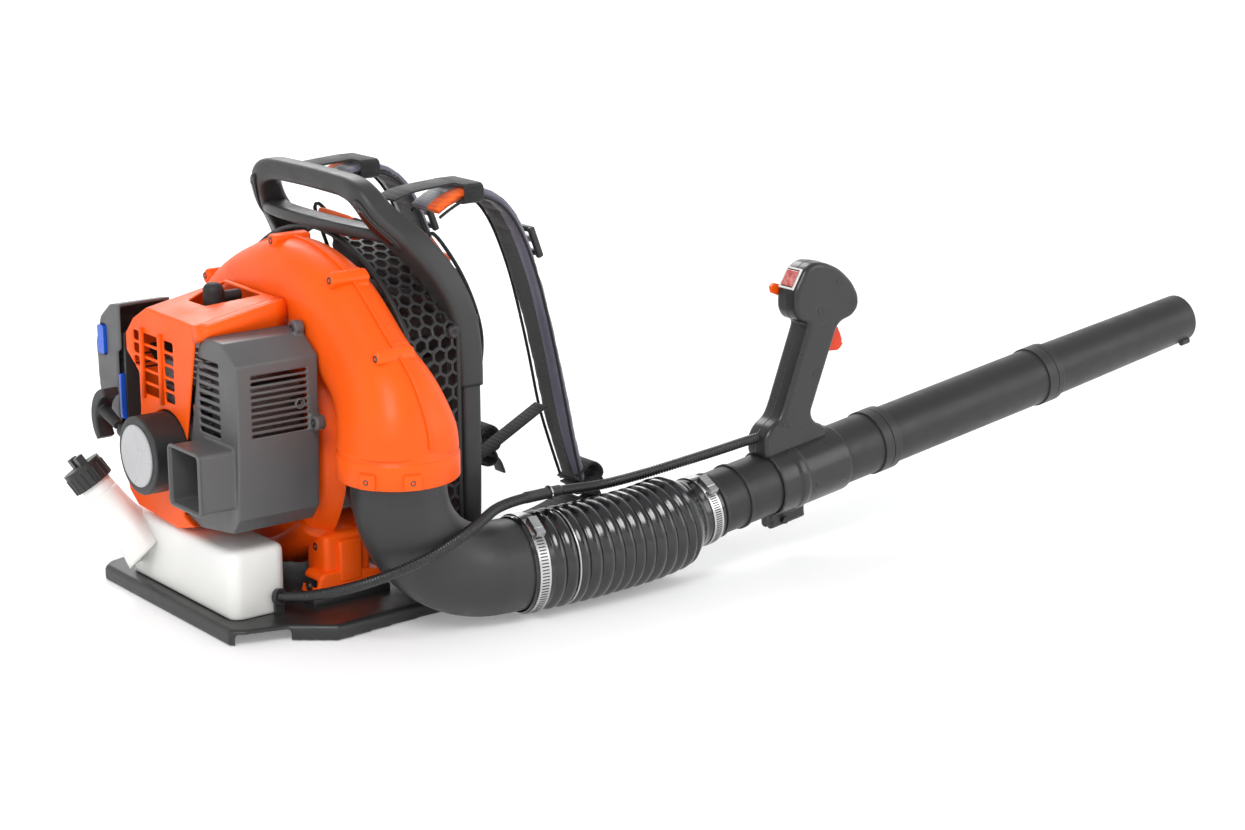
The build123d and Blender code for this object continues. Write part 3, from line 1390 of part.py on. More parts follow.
with BuildPart() as buckles:
    for strap_x in (STRAP_X, -STRAP_X):
        with BuildSketch(Plane(origin=(strap_x, 306, 400), x_dir=(1, 0, 0), z_dir=(0, 0.935, 0.354))):
            RectangleRounded(46, 42, 4)
            with Locations((0, 9), (0, -9)):
                Rectangle(34, 8, mode=Mode.SUBTRACT)
        extrude(amount=7)
buckles.part.label = "buckles"
export_step(buckles.part, "parts/buckles.step")
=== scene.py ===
"""Looks of the backpack leaf blower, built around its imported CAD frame. Lengths are in metres."""

import json
from math import cos, exp, pi, radians, sin, tau

import bpy
from mathutils import Matrix, Vector


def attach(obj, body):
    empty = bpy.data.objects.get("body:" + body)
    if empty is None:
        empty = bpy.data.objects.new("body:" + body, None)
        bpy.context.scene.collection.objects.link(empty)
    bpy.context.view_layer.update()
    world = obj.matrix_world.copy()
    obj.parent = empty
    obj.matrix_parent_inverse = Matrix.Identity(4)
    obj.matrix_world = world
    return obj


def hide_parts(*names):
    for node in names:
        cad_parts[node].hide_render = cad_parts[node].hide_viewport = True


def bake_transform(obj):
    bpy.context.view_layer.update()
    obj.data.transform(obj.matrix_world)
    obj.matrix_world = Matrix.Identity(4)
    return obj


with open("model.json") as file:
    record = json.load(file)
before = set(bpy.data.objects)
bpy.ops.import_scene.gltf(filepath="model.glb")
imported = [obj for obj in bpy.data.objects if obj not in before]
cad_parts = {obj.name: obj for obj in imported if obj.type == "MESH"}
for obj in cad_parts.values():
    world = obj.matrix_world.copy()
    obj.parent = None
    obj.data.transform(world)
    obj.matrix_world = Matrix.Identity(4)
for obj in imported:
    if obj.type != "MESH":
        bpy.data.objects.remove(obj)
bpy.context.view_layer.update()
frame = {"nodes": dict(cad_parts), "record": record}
scene = bpy.context.scene

# ---------------------------------------------------------------- driving dimensions, as in the CAD part
TUBE_X = 0.258
TUBE_RISE = 0.135
SHAFT_Z = 0.191
TUBE_DIR = Vector((0, 1, TUBE_RISE)).normalized()
FRONT_CLAMP_Y = 0.468
FRONT_CLAMP_Z = 0.076
RIGHT = Vector((1, 0, 0))
FORWARD = Vector((0, 1, 0))
UP = Vector((0, 0, 1))
SIDES = (("right", 1), ("left", -1))


def tube_z(y):
    """Height of the blower tube's axis at station y."""
    return FRONT_CLAMP_Z + TUBE_RISE * (y - FRONT_CLAMP_Y)


# ---------------------------------------------------------------- materials
materials = {}


class Nodes:
    """A material under construction: its node tree with a few short ways to add nodes."""

    def __init__(self, name):
        self.material = bpy.data.materials.new(name)
        self.material.use_nodes = True
        materials[name] = self.material
        self.tree = self.material.node_tree
        self.shader = self.tree.nodes["Principled BSDF"]
        self.place = self.add("ShaderNodeTexCoord", {}).outputs["Object"]

    def put(self, node, values):
        """Fills a node's inputs: a socket is linked and anything else is set as the input's value."""
        for key, value in values.items():
            if isinstance(value, bpy.types.NodeSocket):
                self.tree.links.new(value, node.inputs[key])
            else:
                node.inputs[key].default_value = value

    def add(self, kind, values, **settings):
        """A new node with its settings and its inputs."""
        node = self.tree.nodes.new(kind)
        for key, value in settings.items():
            setattr(node, key, value)
        self.put(node, values)
        return node

    def noise(self, scale, detail=3, distortion=0.0, place=None):
        values = {"Scale": scale, "Detail": detail, "Distortion": distortion, "Vector": place or self.place}
        return self.add("ShaderNodeTexNoise", values).outputs["Fac"]

    def ramp(self, source, *stops):
        """A colour ramp; each stop is (position, colour or grey value)."""
        node = self.add("ShaderNodeValToRGB", {"Fac": source})
        elements = node.color_ramp.elements
        for element, (position, colour) in zip(elements, stops):
            element.position = position
            element.color = (*colour, 1) if isinstance(colour, tuple) else (colour, colour, colour, 1)
        return node.outputs["Color"]

    def mix(self, factor, first, second):
        """Blends a colour or socket with a second colour."""
        first = (*first, 1) if isinstance(first, tuple) else first
        values = {0: factor, 6: first, 7: (*second, 1)}
        return self.add("ShaderNodeMix", values, data_type="RGBA").outputs[2]

    def math(self, operation, first, second):
        return self.add("ShaderNodeMath", {0: first, 1: second}, operation=operation).outputs[0]

    def bump(self, height, strength, distance, **values):
        values.update(Strength=strength, Distance=distance, Height=height)
        return self.add("ShaderNodeBump", values).outputs["Normal"]

    def soft_edges(self, radius):
        """A normal that rounds sharp edges a little."""
        return self.add("ShaderNodeBevel", {"Radius": radius}, samples=4).outputs["Normal"]

    def finish(self, colour, roughness, normal, **others):
        """Fills the shader's inputs; an underscore in a name stands for a space."""
        values = {key.replace("_", " "): value for key, value in others.items()}
        values.update({"Base Color": colour, "Roughness": roughness, "Normal": normal})
        self.put(self.shader, values)
        return self.material


def shade(colour, factor):
    return tuple(min(1.0, channel * factor) for channel in colour)


def plastic(name, colour, rough=0.4, grain=1800, depth=0.00012, wear=1.25, coat=0.0, specular=0.5):
    """Moulded plastic: fine grain, faint cloudiness, edges a little polished by handling."""
    n = Nodes(name)
    cloud = n.noise(9, 4)
    tone = n.ramp(cloud, (0.3, shade(colour, 0.9)), (0.7, shade(colour, 1.08)))
    rub = n.ramp(n.add("ShaderNodeNewGeometry", {}).outputs["Pointiness"], (0.5, 0.0), (0.57, 1.0))
    tone = n.mix(n.math("MULTIPLY", rub, 0.35), tone, shade(colour, wear))
    smear = n.noise(38, 5, 0.6)
    roughness = n.ramp(smear, (0.25, rough * 0.82), (0.75, min(1.0, rough * 1.22)))
    normal = n.bump(n.noise(grain, 2), 0.5, depth, Normal=n.soft_edges(0.0012))
    n.finish(tone, roughness, normal, Coat_Weight=coat, Coat_Roughness=0.12, Specular_IOR_Level=specular)


def metal(name, colour, rough=0.3, streak=(900, 60, 60), depth=0.00005):
    """Brushed or cast metal: streaks or grit in the bump and the roughness."""
    n = Nodes(name)
    stretch = n.add("ShaderNodeMapping", {"Scale": streak, "Vector": n.place})
    lines = n.noise(1, 4, place=stretch.outputs["Vector"])
    stain = n.noise(45, 4, 0.5)
    tone = n.ramp(stain, (0.3, shade(colour, 0.82)), (0.65, colour))
    roughness = n.ramp(lines, (0.3, rough * 0.75), (0.7, rough * 1.3))
    n.finish(tone, roughness, n.bump(lines, 0.4, depth, Normal=n.soft_edges(0.0006)), Metallic=1.0)


def fabric(name, colour, thread=1500, contrast=0.45, rough=0.85, sheen=0.25, depth=0.0004):
    """Woven cloth: two crossed sets of threads, uneven dye and a little fuzz."""
    n = Nodes(name)
    weaves = []
    for direction in ("X", "Y", "Z"):
        values = {"Scale": thread / 20, "Distortion": 0.5, "Vector": n.place}
        wave = n.add("ShaderNodeTexWave", values, wave_type="BANDS", bands_direction=direction)
        weaves.append(wave.outputs["Fac"])
    threads = n.math("MULTIPLY", n.math("ADD", weaves[0], weaves[1]), weaves[2])
    dye = n.noise(14, 5, 0.4)
    tone = n.ramp(dye, (0.3, shade(colour, 0.82)), (0.7, shade(colour, 1.12)))
    tone = n.mix(n.math("MULTIPLY", threads, contrast), tone, shade(colour, 0.45))
    roughness = n.ramp(n.noise(300, 2), (0.3, rough * 0.9), (0.7, min(1.0, rough * 1.1)))
    n.finish(tone, roughness, n.bump(threads, 0.6, depth), Sheen_Weight=sheen, Sheen_Roughness=0.4)


def spacer_mesh(name, colour, hole):
    """Knitted spacer mesh: round holes in a dark backing."""
    n = Nodes(name)
    cells = n.add("ShaderNodeTexVoronoi", {"Scale": 330, "Randomness": 0.12, "Vector": n.place}, feature="F1")
    pores = n.ramp(cells.outputs["Distance"], (0.24, 1.0), (0.36, 0.0))
    dye = n.ramp(n.noise(20, 4), (0.3, shade(colour, 0.88)), (0.7, shade(colour, 1.1)))
    tone = n.mix(pores, dye, hole)
    roughness = n.ramp(n.noise(260, 2), (0.3, 0.75), (0.7, 0.95))
    n.finish(tone, roughness, n.bump(n.math("SUBTRACT", 1.0, pores), 0.7, 0.0006), Sheen_Weight=0.2)


def milky_tank(name):
    """Blow-moulded translucent tank, greyer towards the bottom."""
    n = Nodes(name)
    height = n.add("ShaderNodeSeparateXYZ", {"Vector": n.place})
    level = n.math("MULTIPLY", height.outputs["Z"], 10.0)
    body = n.ramp(level, (0.25, (0.72, 0.72, 0.69)), (0.85, (0.86, 0.86, 0.84)))
    tone = n.mix(n.ramp(n.noise(14, 4), (0.35, 0.0), (0.75, 0.25)), body, (0.6, 0.6, 0.56))
    roughness = n.ramp(n.noise(60, 3), (0.3, 0.34), (0.7, 0.46))
    normal = n.bump(n.noise(700, 2), 0.4, 0.0001, Normal=n.soft_edges(0.003))
    n.finish(tone, roughness, normal, Subsurface_Weight=0.45, Subsurface_Radius=(0.02, 0.02, 0.018))


def rocker_plastic(name):
    """Clear red switch rocker with a pale moulding inside."""
    n = Nodes(name)
    tone = n.ramp(n.noise(160, 3), (0.35, (0.55, 0.03, 0.03)), (0.7, (0.85, 0.28, 0.24)))
    roughness = n.ramp(n.noise(90, 2), (0.3, 0.1), (0.7, 0.2))
    normal = n.bump(n.noise(400, 2), 0.2, 0.0001, Normal=n.soft_edges(0.001))
    n.finish(tone, roughness, normal, Transmission_Weight=0.25, Coat_Weight=0.6)


ORANGE = (0.93, 0.1, 0.003)
plastic("orange_shell", ORANGE, 0.42, grain=900, depth=0.0001, wear=1.1, coat=0.05, specular=0.22)
plastic("dark_plastic", (0.021, 0.021, 0.0214), rough=0.42, wear=1.9, specular=0.4)
plastic("gray_plastic", (0.03, 0.03, 0.0305), rough=0.42, wear=1.5, specular=0.4)
plastic("black_gloss", (0.006, 0.006, 0.007), rough=0.16, depth=0.00005, wear=2.5, coat=0.5)
milky_tank("white_tank")
plastic("white_plastic", (0.75, 0.75, 0.73), rough=0.3, wear=1.05)
plastic("cover_plastic", (0.088, 0.088, 0.09), rough=0.42, wear=1.4)
plastic("base_plastic", (0.022, 0.022, 0.0224), rough=0.36, wear=1.8, specular=0.42)
plastic("dark_gloss", (0.021, 0.021, 0.0214), rough=0.3, depth=0.00008, wear=1.7, coat=0.08,
        specular=0.42)
plastic("blue_plastic", (0.008, 0.08, 0.5), rough=0.3, wear=1.5, coat=0.2)
plastic("red_plastic", (0.68, 0.045, 0.008), rough=0.32, wear=1.2, specular=0.35)
rocker_plastic("rocker")
plastic("orange_rubbery", (0.8, 0.2, 0.02), rough=0.5, wear=1.2)
plastic("rubber", (0.012, 0.012, 0.012), rough=0.6, grain=500, wear=1.8)
plastic("silver_face", (0.4, 0.4, 0.41), rough=0.28, wear=1.1, coat=0.3)
plastic("black_screw", (0.008, 0.008, 0.008), rough=0.3, wear=2.0)
plastic("loom", (0.014, 0.014, 0.015), rough=0.3, wear=3.0)
metal("steel", (0.6, 0.6, 0.6), 0.28)
metal("dark_steel", (0.1, 0.095, 0.09), 0.5, (300, 300, 300), 0.0002)
metal("cast_aluminium", (0.55, 0.55, 0.56), 0.5, (420, 420, 420), 0.0003)
spacer_mesh("pad_fabric", (0.2, 0.19, 0.24), (0.04, 0.04, 0.05))
spacer_mesh("pad_mesh", (0.02, 0.02, 0.022), (0.004, 0.004, 0.004))
fabric("satin", (0.13, 0.125, 0.17), 3000, contrast=0.2, rough=0.5, sheen=0.5, depth=0.0002)
plastic("pale_plastic", (0.3, 0.3, 0.31), rough=0.35, wear=1.3)
fabric("web_fabric", (0.012, 0.012, 0.013), 2400, contrast=0.6)
fabric("orange_fabric", (0.9, 0.12, 0.01), 1400, contrast=0.3)
fabric("filter_foam", (0.06, 0.06, 0.06), 800)
finish_of = {"stop_rocker": "rocker", "starter_disc": "silver_face", "handle_screws": "black_screw",
             "rocker_bezel": "white_plastic"}
for row in frame["record"]["subparts"]:
    mesh = frame["nodes"][row["node"]].data
    mesh.materials.clear()
    mesh.materials.append(materials[finish_of.get(row["node"], row["material_slot"])])

# ---------------------------------------------------------------- camera, lights, floor
AZIMUTH = radians(52)
ELEVATION = radians(14.8)


def placed(name, data):
    """A new object in the scene."""
    made = bpy.data.objects.new(name, data)
    scene.collection.objects.link(made)
    return made


look = Vector((-cos(ELEVATION) * sin(AZIMUTH), cos(ELEVATION) * cos(AZIMUTH), -sin(ELEVATION)))
camera = placed("camera", bpy.data.cameras.new("camera"))
camera.location = (2.5302, -1.4346, 0.9739)
camera.rotation_euler = look.to_track_quat("-Z", "Y").to_euler()
camera.data.lens = 73.73
camera.data.sensor_width = 36
scene.camera = camera


def area_light(name, place, target, size, power):
    light = placed(name, bpy.data.lights.new(name, "AREA"))
    light.data.shape = "DISK"
    light.data.size = size
    light.data.energy = power
    light.location = place
    light.rotation_euler = (Vector(target) - Vector(place)).to_track_quat("-Z", "Y").to_euler()


area_light("key", (1.6, -1.5, 2.4), (0, 0.2, 0.2), 1.3, 44)
area_light("rim", (-2.2, 1.2, 2.2), (0, 0.4, 0.2), 1.6, 40)
area_light("fill", (2.4, 2.2, 1.4), (0.2, 0.5, 0.1), 1.8, 18)
world = bpy.data.worlds.new("studio")
scene.world = world
world.use_nodes = True
sky = world.node_tree.nodes["Background"].inputs
sky["Color"].default_value = (0.93, 0.94, 0.96, 1)
sky["Strength"].default_value = 0.62
scene.view_settings.view_transform = "Standard"


def floor():
    """Plain pale studio floor, curving up far away on every side."""
    n = Nodes("floor")
    tone = n.ramp(n.noise(3, 3), (0.3, 0.83), (0.7, 0.85))
    roughness = n.ramp(n.noise(20, 2), (0.3, 0.6), (0.7, 0.7))
    reach = n.add("ShaderNodeVectorMath", {0: n.place}, operation="LENGTH")
    glow = n.ramp(n.math("MULTIPLY", reach.outputs["Value"], 0.1), (0.12, 0.26), (0.42, 0.5))
    normal = n.bump(n.noise(300, 2), 0.1, 0.0002)
    n.finish(tone, roughness, normal, Emission_Color=glow, Emission_Strength=0.8)
    flat, curve, top, steps, count = 8, 3, 7, 12, 64
    profile = [(0.001, 0), (3, 0), (flat, 0)]
    for k in range(1, steps + 1):
        turn = pi / 2 * k / steps
        profile.append((flat + curve * sin(turn), curve - curve * cos(turn)))
    profile.append((flat + curve, top))
    verts = []
    for radius, z in profile:
        verts += [(radius * cos(tau * k / count), radius * sin(tau * k / count), z) for k in range(count)]
    faces = []
    for low in range(0, count * (len(profile) - 1), count):
        high = low + count
        faces += [(low + k, low + (k + 1) % count, high + (k + 1) % count, high + k) for k in range(count)]
    mesh = bpy.data.meshes.new("floor")
    mesh.from_pydata(verts, [], faces)
    mesh.materials.append(n.material)
    for polygon in mesh.polygons:
        polygon.use_smooth = True
    bowl = placed("floor", mesh)
    bowl.location.z = -0.001


floor()


# ---------------------------------------------------------------- ways to make pieces
def piece(name, verts, faces, material, body=None, slot=None, replaces=(), smooth=True):
    """A mesh piece with a material, its CAD body and the nodes that it stands for."""
    mesh = bpy.data.meshes.new(name)
    mesh.from_pydata([tuple(v) for v in verts], [], faces)
    mesh.validate()
    mesh.materials.append(materials[material])
    made = placed(name, mesh)
    for polygon in mesh.polygons:
        polygon.use_smooth = smooth
    if replaces:
        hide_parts(*replaces)
    if body:
        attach(made, body)
    return made


def bake_modifiers(made):
    """Applies a piece's modifiers to its mesh."""
    graph = bpy.context.evaluated_depsgraph_get()
    baked = bpy.data.meshes.new_from_object(made.evaluated_get(graph))
    made.modifiers.clear()
    made.data = baked


def modify(made, kind, **settings):
    """Gives a piece a modifier and applies it."""
    modifier = made.modifiers.new(kind.lower(), kind)
    for key, value in settings.items():
        setattr(modifier, key, value)
    bake_modifiers(made)


def curve_mesh(curve):
    """The mesh of a curve."""
    holder = placed(curve.name, curve)
    bpy.context.view_layer.update()
    mesh = bpy.data.meshes.new_from_object(holder.evaluated_get(bpy.context.evaluated_depsgraph_get()))
    bpy.data.objects.remove(holder)
    return mesh


def smooth_line(points, count):
    """Evenly spaced points on the smooth curve that a route's points control."""
    curve = bpy.data.curves.new("route", "CURVE")
    curve.dimensions = "3D"
    spline = curve.splines.new("NURBS")
    spline.points.add(len(points) - 1)
    for control, point in zip(spline.points, points):
        control.co = (*point, 1)
    spline.order_u = 3
    spline.use_endpoint_u = True
    spline.resolution_u = 24
    line = [v.co.copy() for v in curve_mesh(curve).vertices]
    lengths = [0.0]
    for before, after in zip(line, line[1:]):
        lengths.append(lengths[-1] + (after - before).length)
    places, at = [], 0
    for step in range(count):
        wanted = lengths[-1] * step / (count - 1)
        while at < len(line) - 2 and lengths[at + 1] < wanted:
            at += 1
        span = lengths[at + 1] - lengths[at]
        places.append(line[at].lerp(line[at + 1], (wanted - lengths[at]) / span if span else 0))
    return places, lengths[-1]


def sweep_rings(line, section, up=UP):
    """Rings of points along a line: section(i, share) gives (across, above) pairs at each point."""
    rings = []
    for i, here in enumerate(line):
        ahead = line[min(i + 1, len(line) - 1)] - line[max(i - 1, 0)]
        ahead.normalize()
        across = ahead.cross(up).normalized()
        above = across.cross(ahead).normalized()
        share = i / (len(line) - 1)
        rings.append([here + across * a + above * b for a, b in section(i, share)])
    return rings


def skin(rings, caps=True):
    """Vertices and faces of a skin over closed rings of equal count."""
    count = len(rings[0])
    verts = [v for ring in rings for v in ring]
    faces = []
    for low in range(0, count * (len(rings) - 1), count):
        high = low + count
        faces += [(low + k, low + (k + 1) % count, high + (k + 1) % count, high + k) for k in range(count)]
    if caps:
        faces.append(tuple(range(count))[::-1])
        faces.append(tuple(range(len(verts) - count, len(verts))))
    return verts, faces


def circle(radius, count):
    """Points of a circle, centred."""
    return [(radius * cos(tau * k / count), radius * sin(tau * k / count)) for k in range(count)]


def rounded_oblong(width, height, corner, steps=5):
    """Points of a rectangle with round corners, centred."""
    points = []
    for quarter in range(4):
        centre_x = (width / 2 - corner) * (1 if quarter in (0, 3) else -1)
        centre_y = (height / 2 - corner) * (1 if quarter < 2 else -1)
        for step in range(steps + 1):
            turn = pi / 2 * (quarter + step / steps)
            points.append((centre_x + corner * cos(turn), centre_y + corner * sin(turn)))
    return points


def rod(name, line, radius, count, material, body=None, up=UP, **facts):
    """A round bar or cord along a line."""
    rings = sweep_rings(line, lambda i, share: circle(radius, count), up)
    return piece(name, *skin(rings), material, body, **facts)


def sweep(name, line, width, height, corner, material, body="unit", up=UP, ends=0.0, steps=4, **facts):
    """A bar of rounded section along a line; ends is how much of its width it loses towards its two ends."""
    def section(i, share):
        across = width * (1 - ends * abs(2 * share - 1) ** 6)
        return rounded_oblong(across, height, min(corner, across * 0.45), steps)

    return piece(name, *skin(sweep_rings(line, section, up)), material, body, **facts)


def band(name, loop, axis, section, material, body, **facts):
    """A band round a closed flat loop; section lists (along the axis, outward) pairs."""
    rings = []
    for i, here in enumerate(loop):
        ahead = (loop[(i + 1) % len(loop)] - loop[i - 1]).normalized()
        out = ahead.cross(axis)
        rings.append([here + axis * a + out * b for a, b in section])
    rings.append(rings[0])
    return piece(name, *skin(rings, caps=False), material, body, **facts)


# ---------------------------------------------------------------- bellows and throttle conduit
BELLOWS_ROUTE = [(0.254, 0.184, 0.059), (0.262, 0.25, 0.059), (0.262, 0.318, 0.061), (0.262, 0.369, 0.0625),
                 (0.258, 0.42, tube_z(0.42)), (0.258, 0.466, tube_z(0.466))]
YAW = {"start": (0.259, 0.2, 0.059), "end": (0.259, 0.29, 0.059)}
PITCH = {"start": (0.261, 0.325, 0.063), "end": (0.261, 0.415, 0.063)}


def bellows():
    """Glossy rubber bellows in two halves."""
    line, length = smooth_line(BELLOWS_ROUTE, 760)
    middle = next(i for i, p in enumerate(line) if p.y > 0.3135)
    first, pitch, root, crest = 0.034, 0.0153, 0.0538, 0.0582
    rear_collar, rear_radius, rear_lip = 0.022, 0.057, 0.0012
    front_start, front_radius, shoulder_radius = length - 0.026, 0.042, 0.0545
    shoulder = first + 13 * pitch - 0.004

    def section(i, share):
        """Plain collars at the ends, folds between them and a smooth shoulder before the front collar."""
        distance = share * length
        if distance < rear_collar:
            radius = rear_radius - rear_lip * max(0.0, 1 - distance / 0.003)
        elif distance > front_start:
            radius = front_radius
        elif distance > shoulder:
            fall = min(1.0, (distance - shoulder) / (front_start - shoulder))
            radius = shoulder_radius + (front_radius - shoulder_radius) * fall * fall * (3 - 2 * fall)
        elif distance > first - pitch / 2:
            wave = 0.5 + 0.5 * cos(tau * (distance - first) / pitch)
            radius = root + (crest - root) * wave ** 0.55
        else:
            radius = root + 0.001
        return circle(radius, 72)

    rings = sweep_rings(line, section)
    for name, part, bodies, bend, node in (
        ("bellows_rear_half", rings[: middle + 1], ("unit", "bellows"), YAW, "bellows_rear"),
        ("bellows_front_half", rings[middle:], ("bellows", "tube"), PITCH, "bellows_front"),
    ):
        half = piece(name, *skin(part, caps=False), "black_gloss", replaces=(node,))
        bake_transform(half)


CONDUIT_REAR = [(0.137, -0.054, 0.038), (0.166, -0.046, 0.044), (0.22, -0.033, 0.062), (0.276, -0.016, 0.086),
                (0.306, 0.028, 0.108), (0.302, 0.076, 0.122), (0.285, 0.118, 0.13), (0.2574, 0.1668, 0.1365),
                (0.242, 0.224, 0.131)]
CONDUIT_FRONT = [(0.242, 0.224, 0.131), (0.228, 0.276, 0.126), (0.222, 0.332, 0.119), (0.23, 0.388, 0.124),
                 (0.244, 0.44, 0.134), (0.253, 0.492, 0.142), (0.258, 0.54, 0.149), (0.258, 0.588, 0.152)]


def conduit():
    """Corrugated throttle conduit in two halves, running from the unit past the bellows clip to the handle.
    """
    for name, route, bodies, bend, node in (
        ("conduit_rear_loom", CONDUIT_REAR, ("unit", "bellows"), YAW, "conduit_rear"),
        ("conduit_front_loom", CONDUIT_FRONT, ("bellows", "tube"), PITCH, "conduit_front"),
    ):
        length = smooth_line(route, 3)[1]
        ribs = round(length / 0.0036)
        line = smooth_line(route, ribs * 4 + 1)[0]
        radii = (0.0062, 0.0062, 0.0048, 0.0048)
        loom = piece(name, *skin(sweep_rings(line, lambda i, share: circle(radii[i % 4], 16))), "loom",
                     slot="rubber", replaces=(node,))
        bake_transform(loom)


def wire_clip():
    """Bright wire ring round the bellows, with an eye and a smooth sleeve for the conduit."""
    centre = Vector((0.2609, 0.24085, 0.059))
    along = Vector((6.5, 66, 0.1)).normalized()
    across = along.cross(UP).normalized()
    above = across.cross(along)
    line = []
    for k in range(97):
        turn = radians(118 + 344 * k / 96)
        line.append(centre + (across * cos(turn) + above * sin(turn)) * 0.0556)
    ring = rod("bellows_wire_ring", line, 0.0012, 10, "steel", up=along, replaces=("conduit_clip",))
    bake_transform(ring)
    sleeve_route = [(0.2461, 0.2087, 0.1326), (0.2377, 0.2397, 0.1296), (0.2303, 0.268, 0.1268)]
    sleeve_line = smooth_line(sleeve_route, 24)[0]
    sleeve = rod("conduit_sleeve", sleeve_line, 0.0068, 20, "dark_plastic")
    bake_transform(sleeve)
    eye = [sleeve_line[16] + Vector((a, 0, b)) for a, b in circle(0.008, 24)]
    eye_ring = rod("clip_eye", [*eye, eye[0]], 0.0011, 8, "steel", up=FORWARD)
    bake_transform(eye_ring)


bellows()
conduit()
wire_clip()

# ---------------------------------------------------------------- more ways to make pieces
def shaft_point(radius, degrees, y):
    """A point at a radius and an angle about the shaft; 0 degrees is +X and 90 is up."""
    return Vector((radius * cos(radians(degrees)), y, SHAFT_Z + radius * sin(radians(degrees))))


def block(name, centre, size, material, body, axes=None, bevel=0.003, segments=3, **facts):
    """A box with rounded edges; axes are its X, Y and Z directions."""
    x, y, z = (side / 2 for side in size)
    corners = [(sx * x, sy * y, sz * z) for sx in (-1, 1) for sy in (-1, 1) for sz in (-1, 1)]
    faces = [(0, 1, 3, 2), (4, 6, 7, 5), (0, 4, 5, 1), (2, 3, 7, 6), (0, 2, 6, 4), (1, 5, 7, 3)]
    made = piece(name, corners, faces, material, **facts)
    modify(made, "BEVEL", width=bevel, segments=segments)
    turn = Matrix(axes).transposed().to_4x4() if axes else Matrix.Identity(4)
    made.data.transform(Matrix.Translation(centre) @ turn)
    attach(made, body)
    return made


def lathe(name, profile, origin, axis, material, body, count=72, **facts):
    """A profile of (radius, distance along axis) turned about an axis."""
    axis = Vector(axis).normalized()
    side = axis.orthogonal().normalized()
    other = axis.cross(side)
    rings = []
    for radius, along in profile:
        centre = Vector(origin) + axis * along
        rings.append([centre + side * a + other * b for a, b in circle(max(radius, 1e-5), count)])
    return piece(name, *skin(rings, caps=False), material, body, **facts)


def plate(name, outline, thickness, to_world, material, body, bevel=0.002, segments=3, holes=(), **facts):
    """A flat plate with an outline, holes and rounded edges; to_world places (a, b, depth)."""
    curve = bpy.data.curves.new(name + "_outline", "CURVE")
    curve.dimensions = "2D"
    curve.fill_mode = "BOTH"
    for loop in (outline, *holes):
        spline = curve.splines.new("POLY")
        spline.points.add(len(loop) - 1)
        for control, point in zip(spline.points, loop):
            control.co = (*point, 0, 1)
        spline.use_cyclic_u = True
    curve.extrude = thickness / 2 - bevel
    curve.bevel_depth = bevel
    curve.bevel_resolution = segments
    curve.offset = -bevel
    mesh = curve_mesh(curve)
    verts = [to_world(v.co.x, v.co.y, v.co.z) for v in mesh.vertices]
    faces = [tuple(p.vertices) for p in mesh.polygons]
    made = piece(name, verts, faces, material, body=body, smooth=False, **facts)
    for before, after in zip(mesh.polygons, made.data.polygons):
        after.use_smooth = before.use_smooth
    return made


def rounded(outline, radius, steps=5):
    """An outline with its corners rounded."""
    points = []
    count = len(outline)
    for i in range(count):
        before, here, after = (Vector(outline[(i + k) % count]) for k in (-1, 0, 1))
        reach = min(radius, (before - here).length * 0.45, (after - here).length * 0.45)
        start = here + (before - here).normalized() * reach
        end = here + (after - here).normalized() * reach
        for step in range(steps + 1):
            t = step / steps
            points.append(tuple(start * (1 - t) ** 2 + here * 2 * t * (1 - t) + end * t * t))
    return points


def screw(name, place, direction, radius, body):
    """A screw head: a rim, a flat face and a sunk socket."""
    profile = [(radius, -0.004), (radius, -0.0004), (radius * 0.9, 0), (radius * 0.52, 0),
               (radius * 0.44, -0.0015), (0, -0.0016)]
    return lathe(name, profile, place, direction, "dark_steel", body, 18)


# ---------------------------------------------------------------- fan housing
SEAM_Y = 0.041
# angle, outer radius and inner radius of the scroll's rounded section, from its small end to the outlet
SCROLL = [(-40, 0.158, 0.112), (-90, 0.162, 0.112), (-135, 0.17, 0.114), (-180, 0.186, 0.117),
          (-225, 0.208, 0.122), (-270, 0.229, 0.128), (-300, 0.25, 0.138), (-326, 0.268, 0.15)]
DUCT_X = 0.238


def eased(values, share):
    """A smooth value between listed ones (Catmull-Rom)."""
    place = share * (len(values) - 1)
    i = min(int(place), len(values) - 2)
    t = place - i
    a, b, c, d = (Vector(values[min(max(i + k, 0), len(values) - 1)]) for k in (-1, 0, 1, 2))
    square = (2 * a - 5 * b + 4 * c - d) * t * t
    cube = (3 * b - a - 3 * c + d) * t ** 3
    return 0.5 * (2 * b + (c - a) * t + square + cube)


def scroll_stations():
    """Centre x, centre z, outward x, outward z, half width and half depth along the scroll and its outlet."""
    stations = []
    for angle, outer, inner in SCROLL:
        middle = (outer + inner) / 2
        out = (cos(radians(angle)), sin(radians(angle)))
        stations.append((middle * out[0], SHAFT_Z + middle * out[1], *out, (outer - inner) / 2, 0.045))
    stations.append((0.213, 0.28, 0.94, 0.34, 0.0625, 0.052))
    stations.append((DUCT_X - 0.002, 0.246, 0.99, 0.1, 0.0645, 0.0615))
    stations.append((DUCT_X, 0.222, 1, 0, 0.065, 0.065))
    return stations


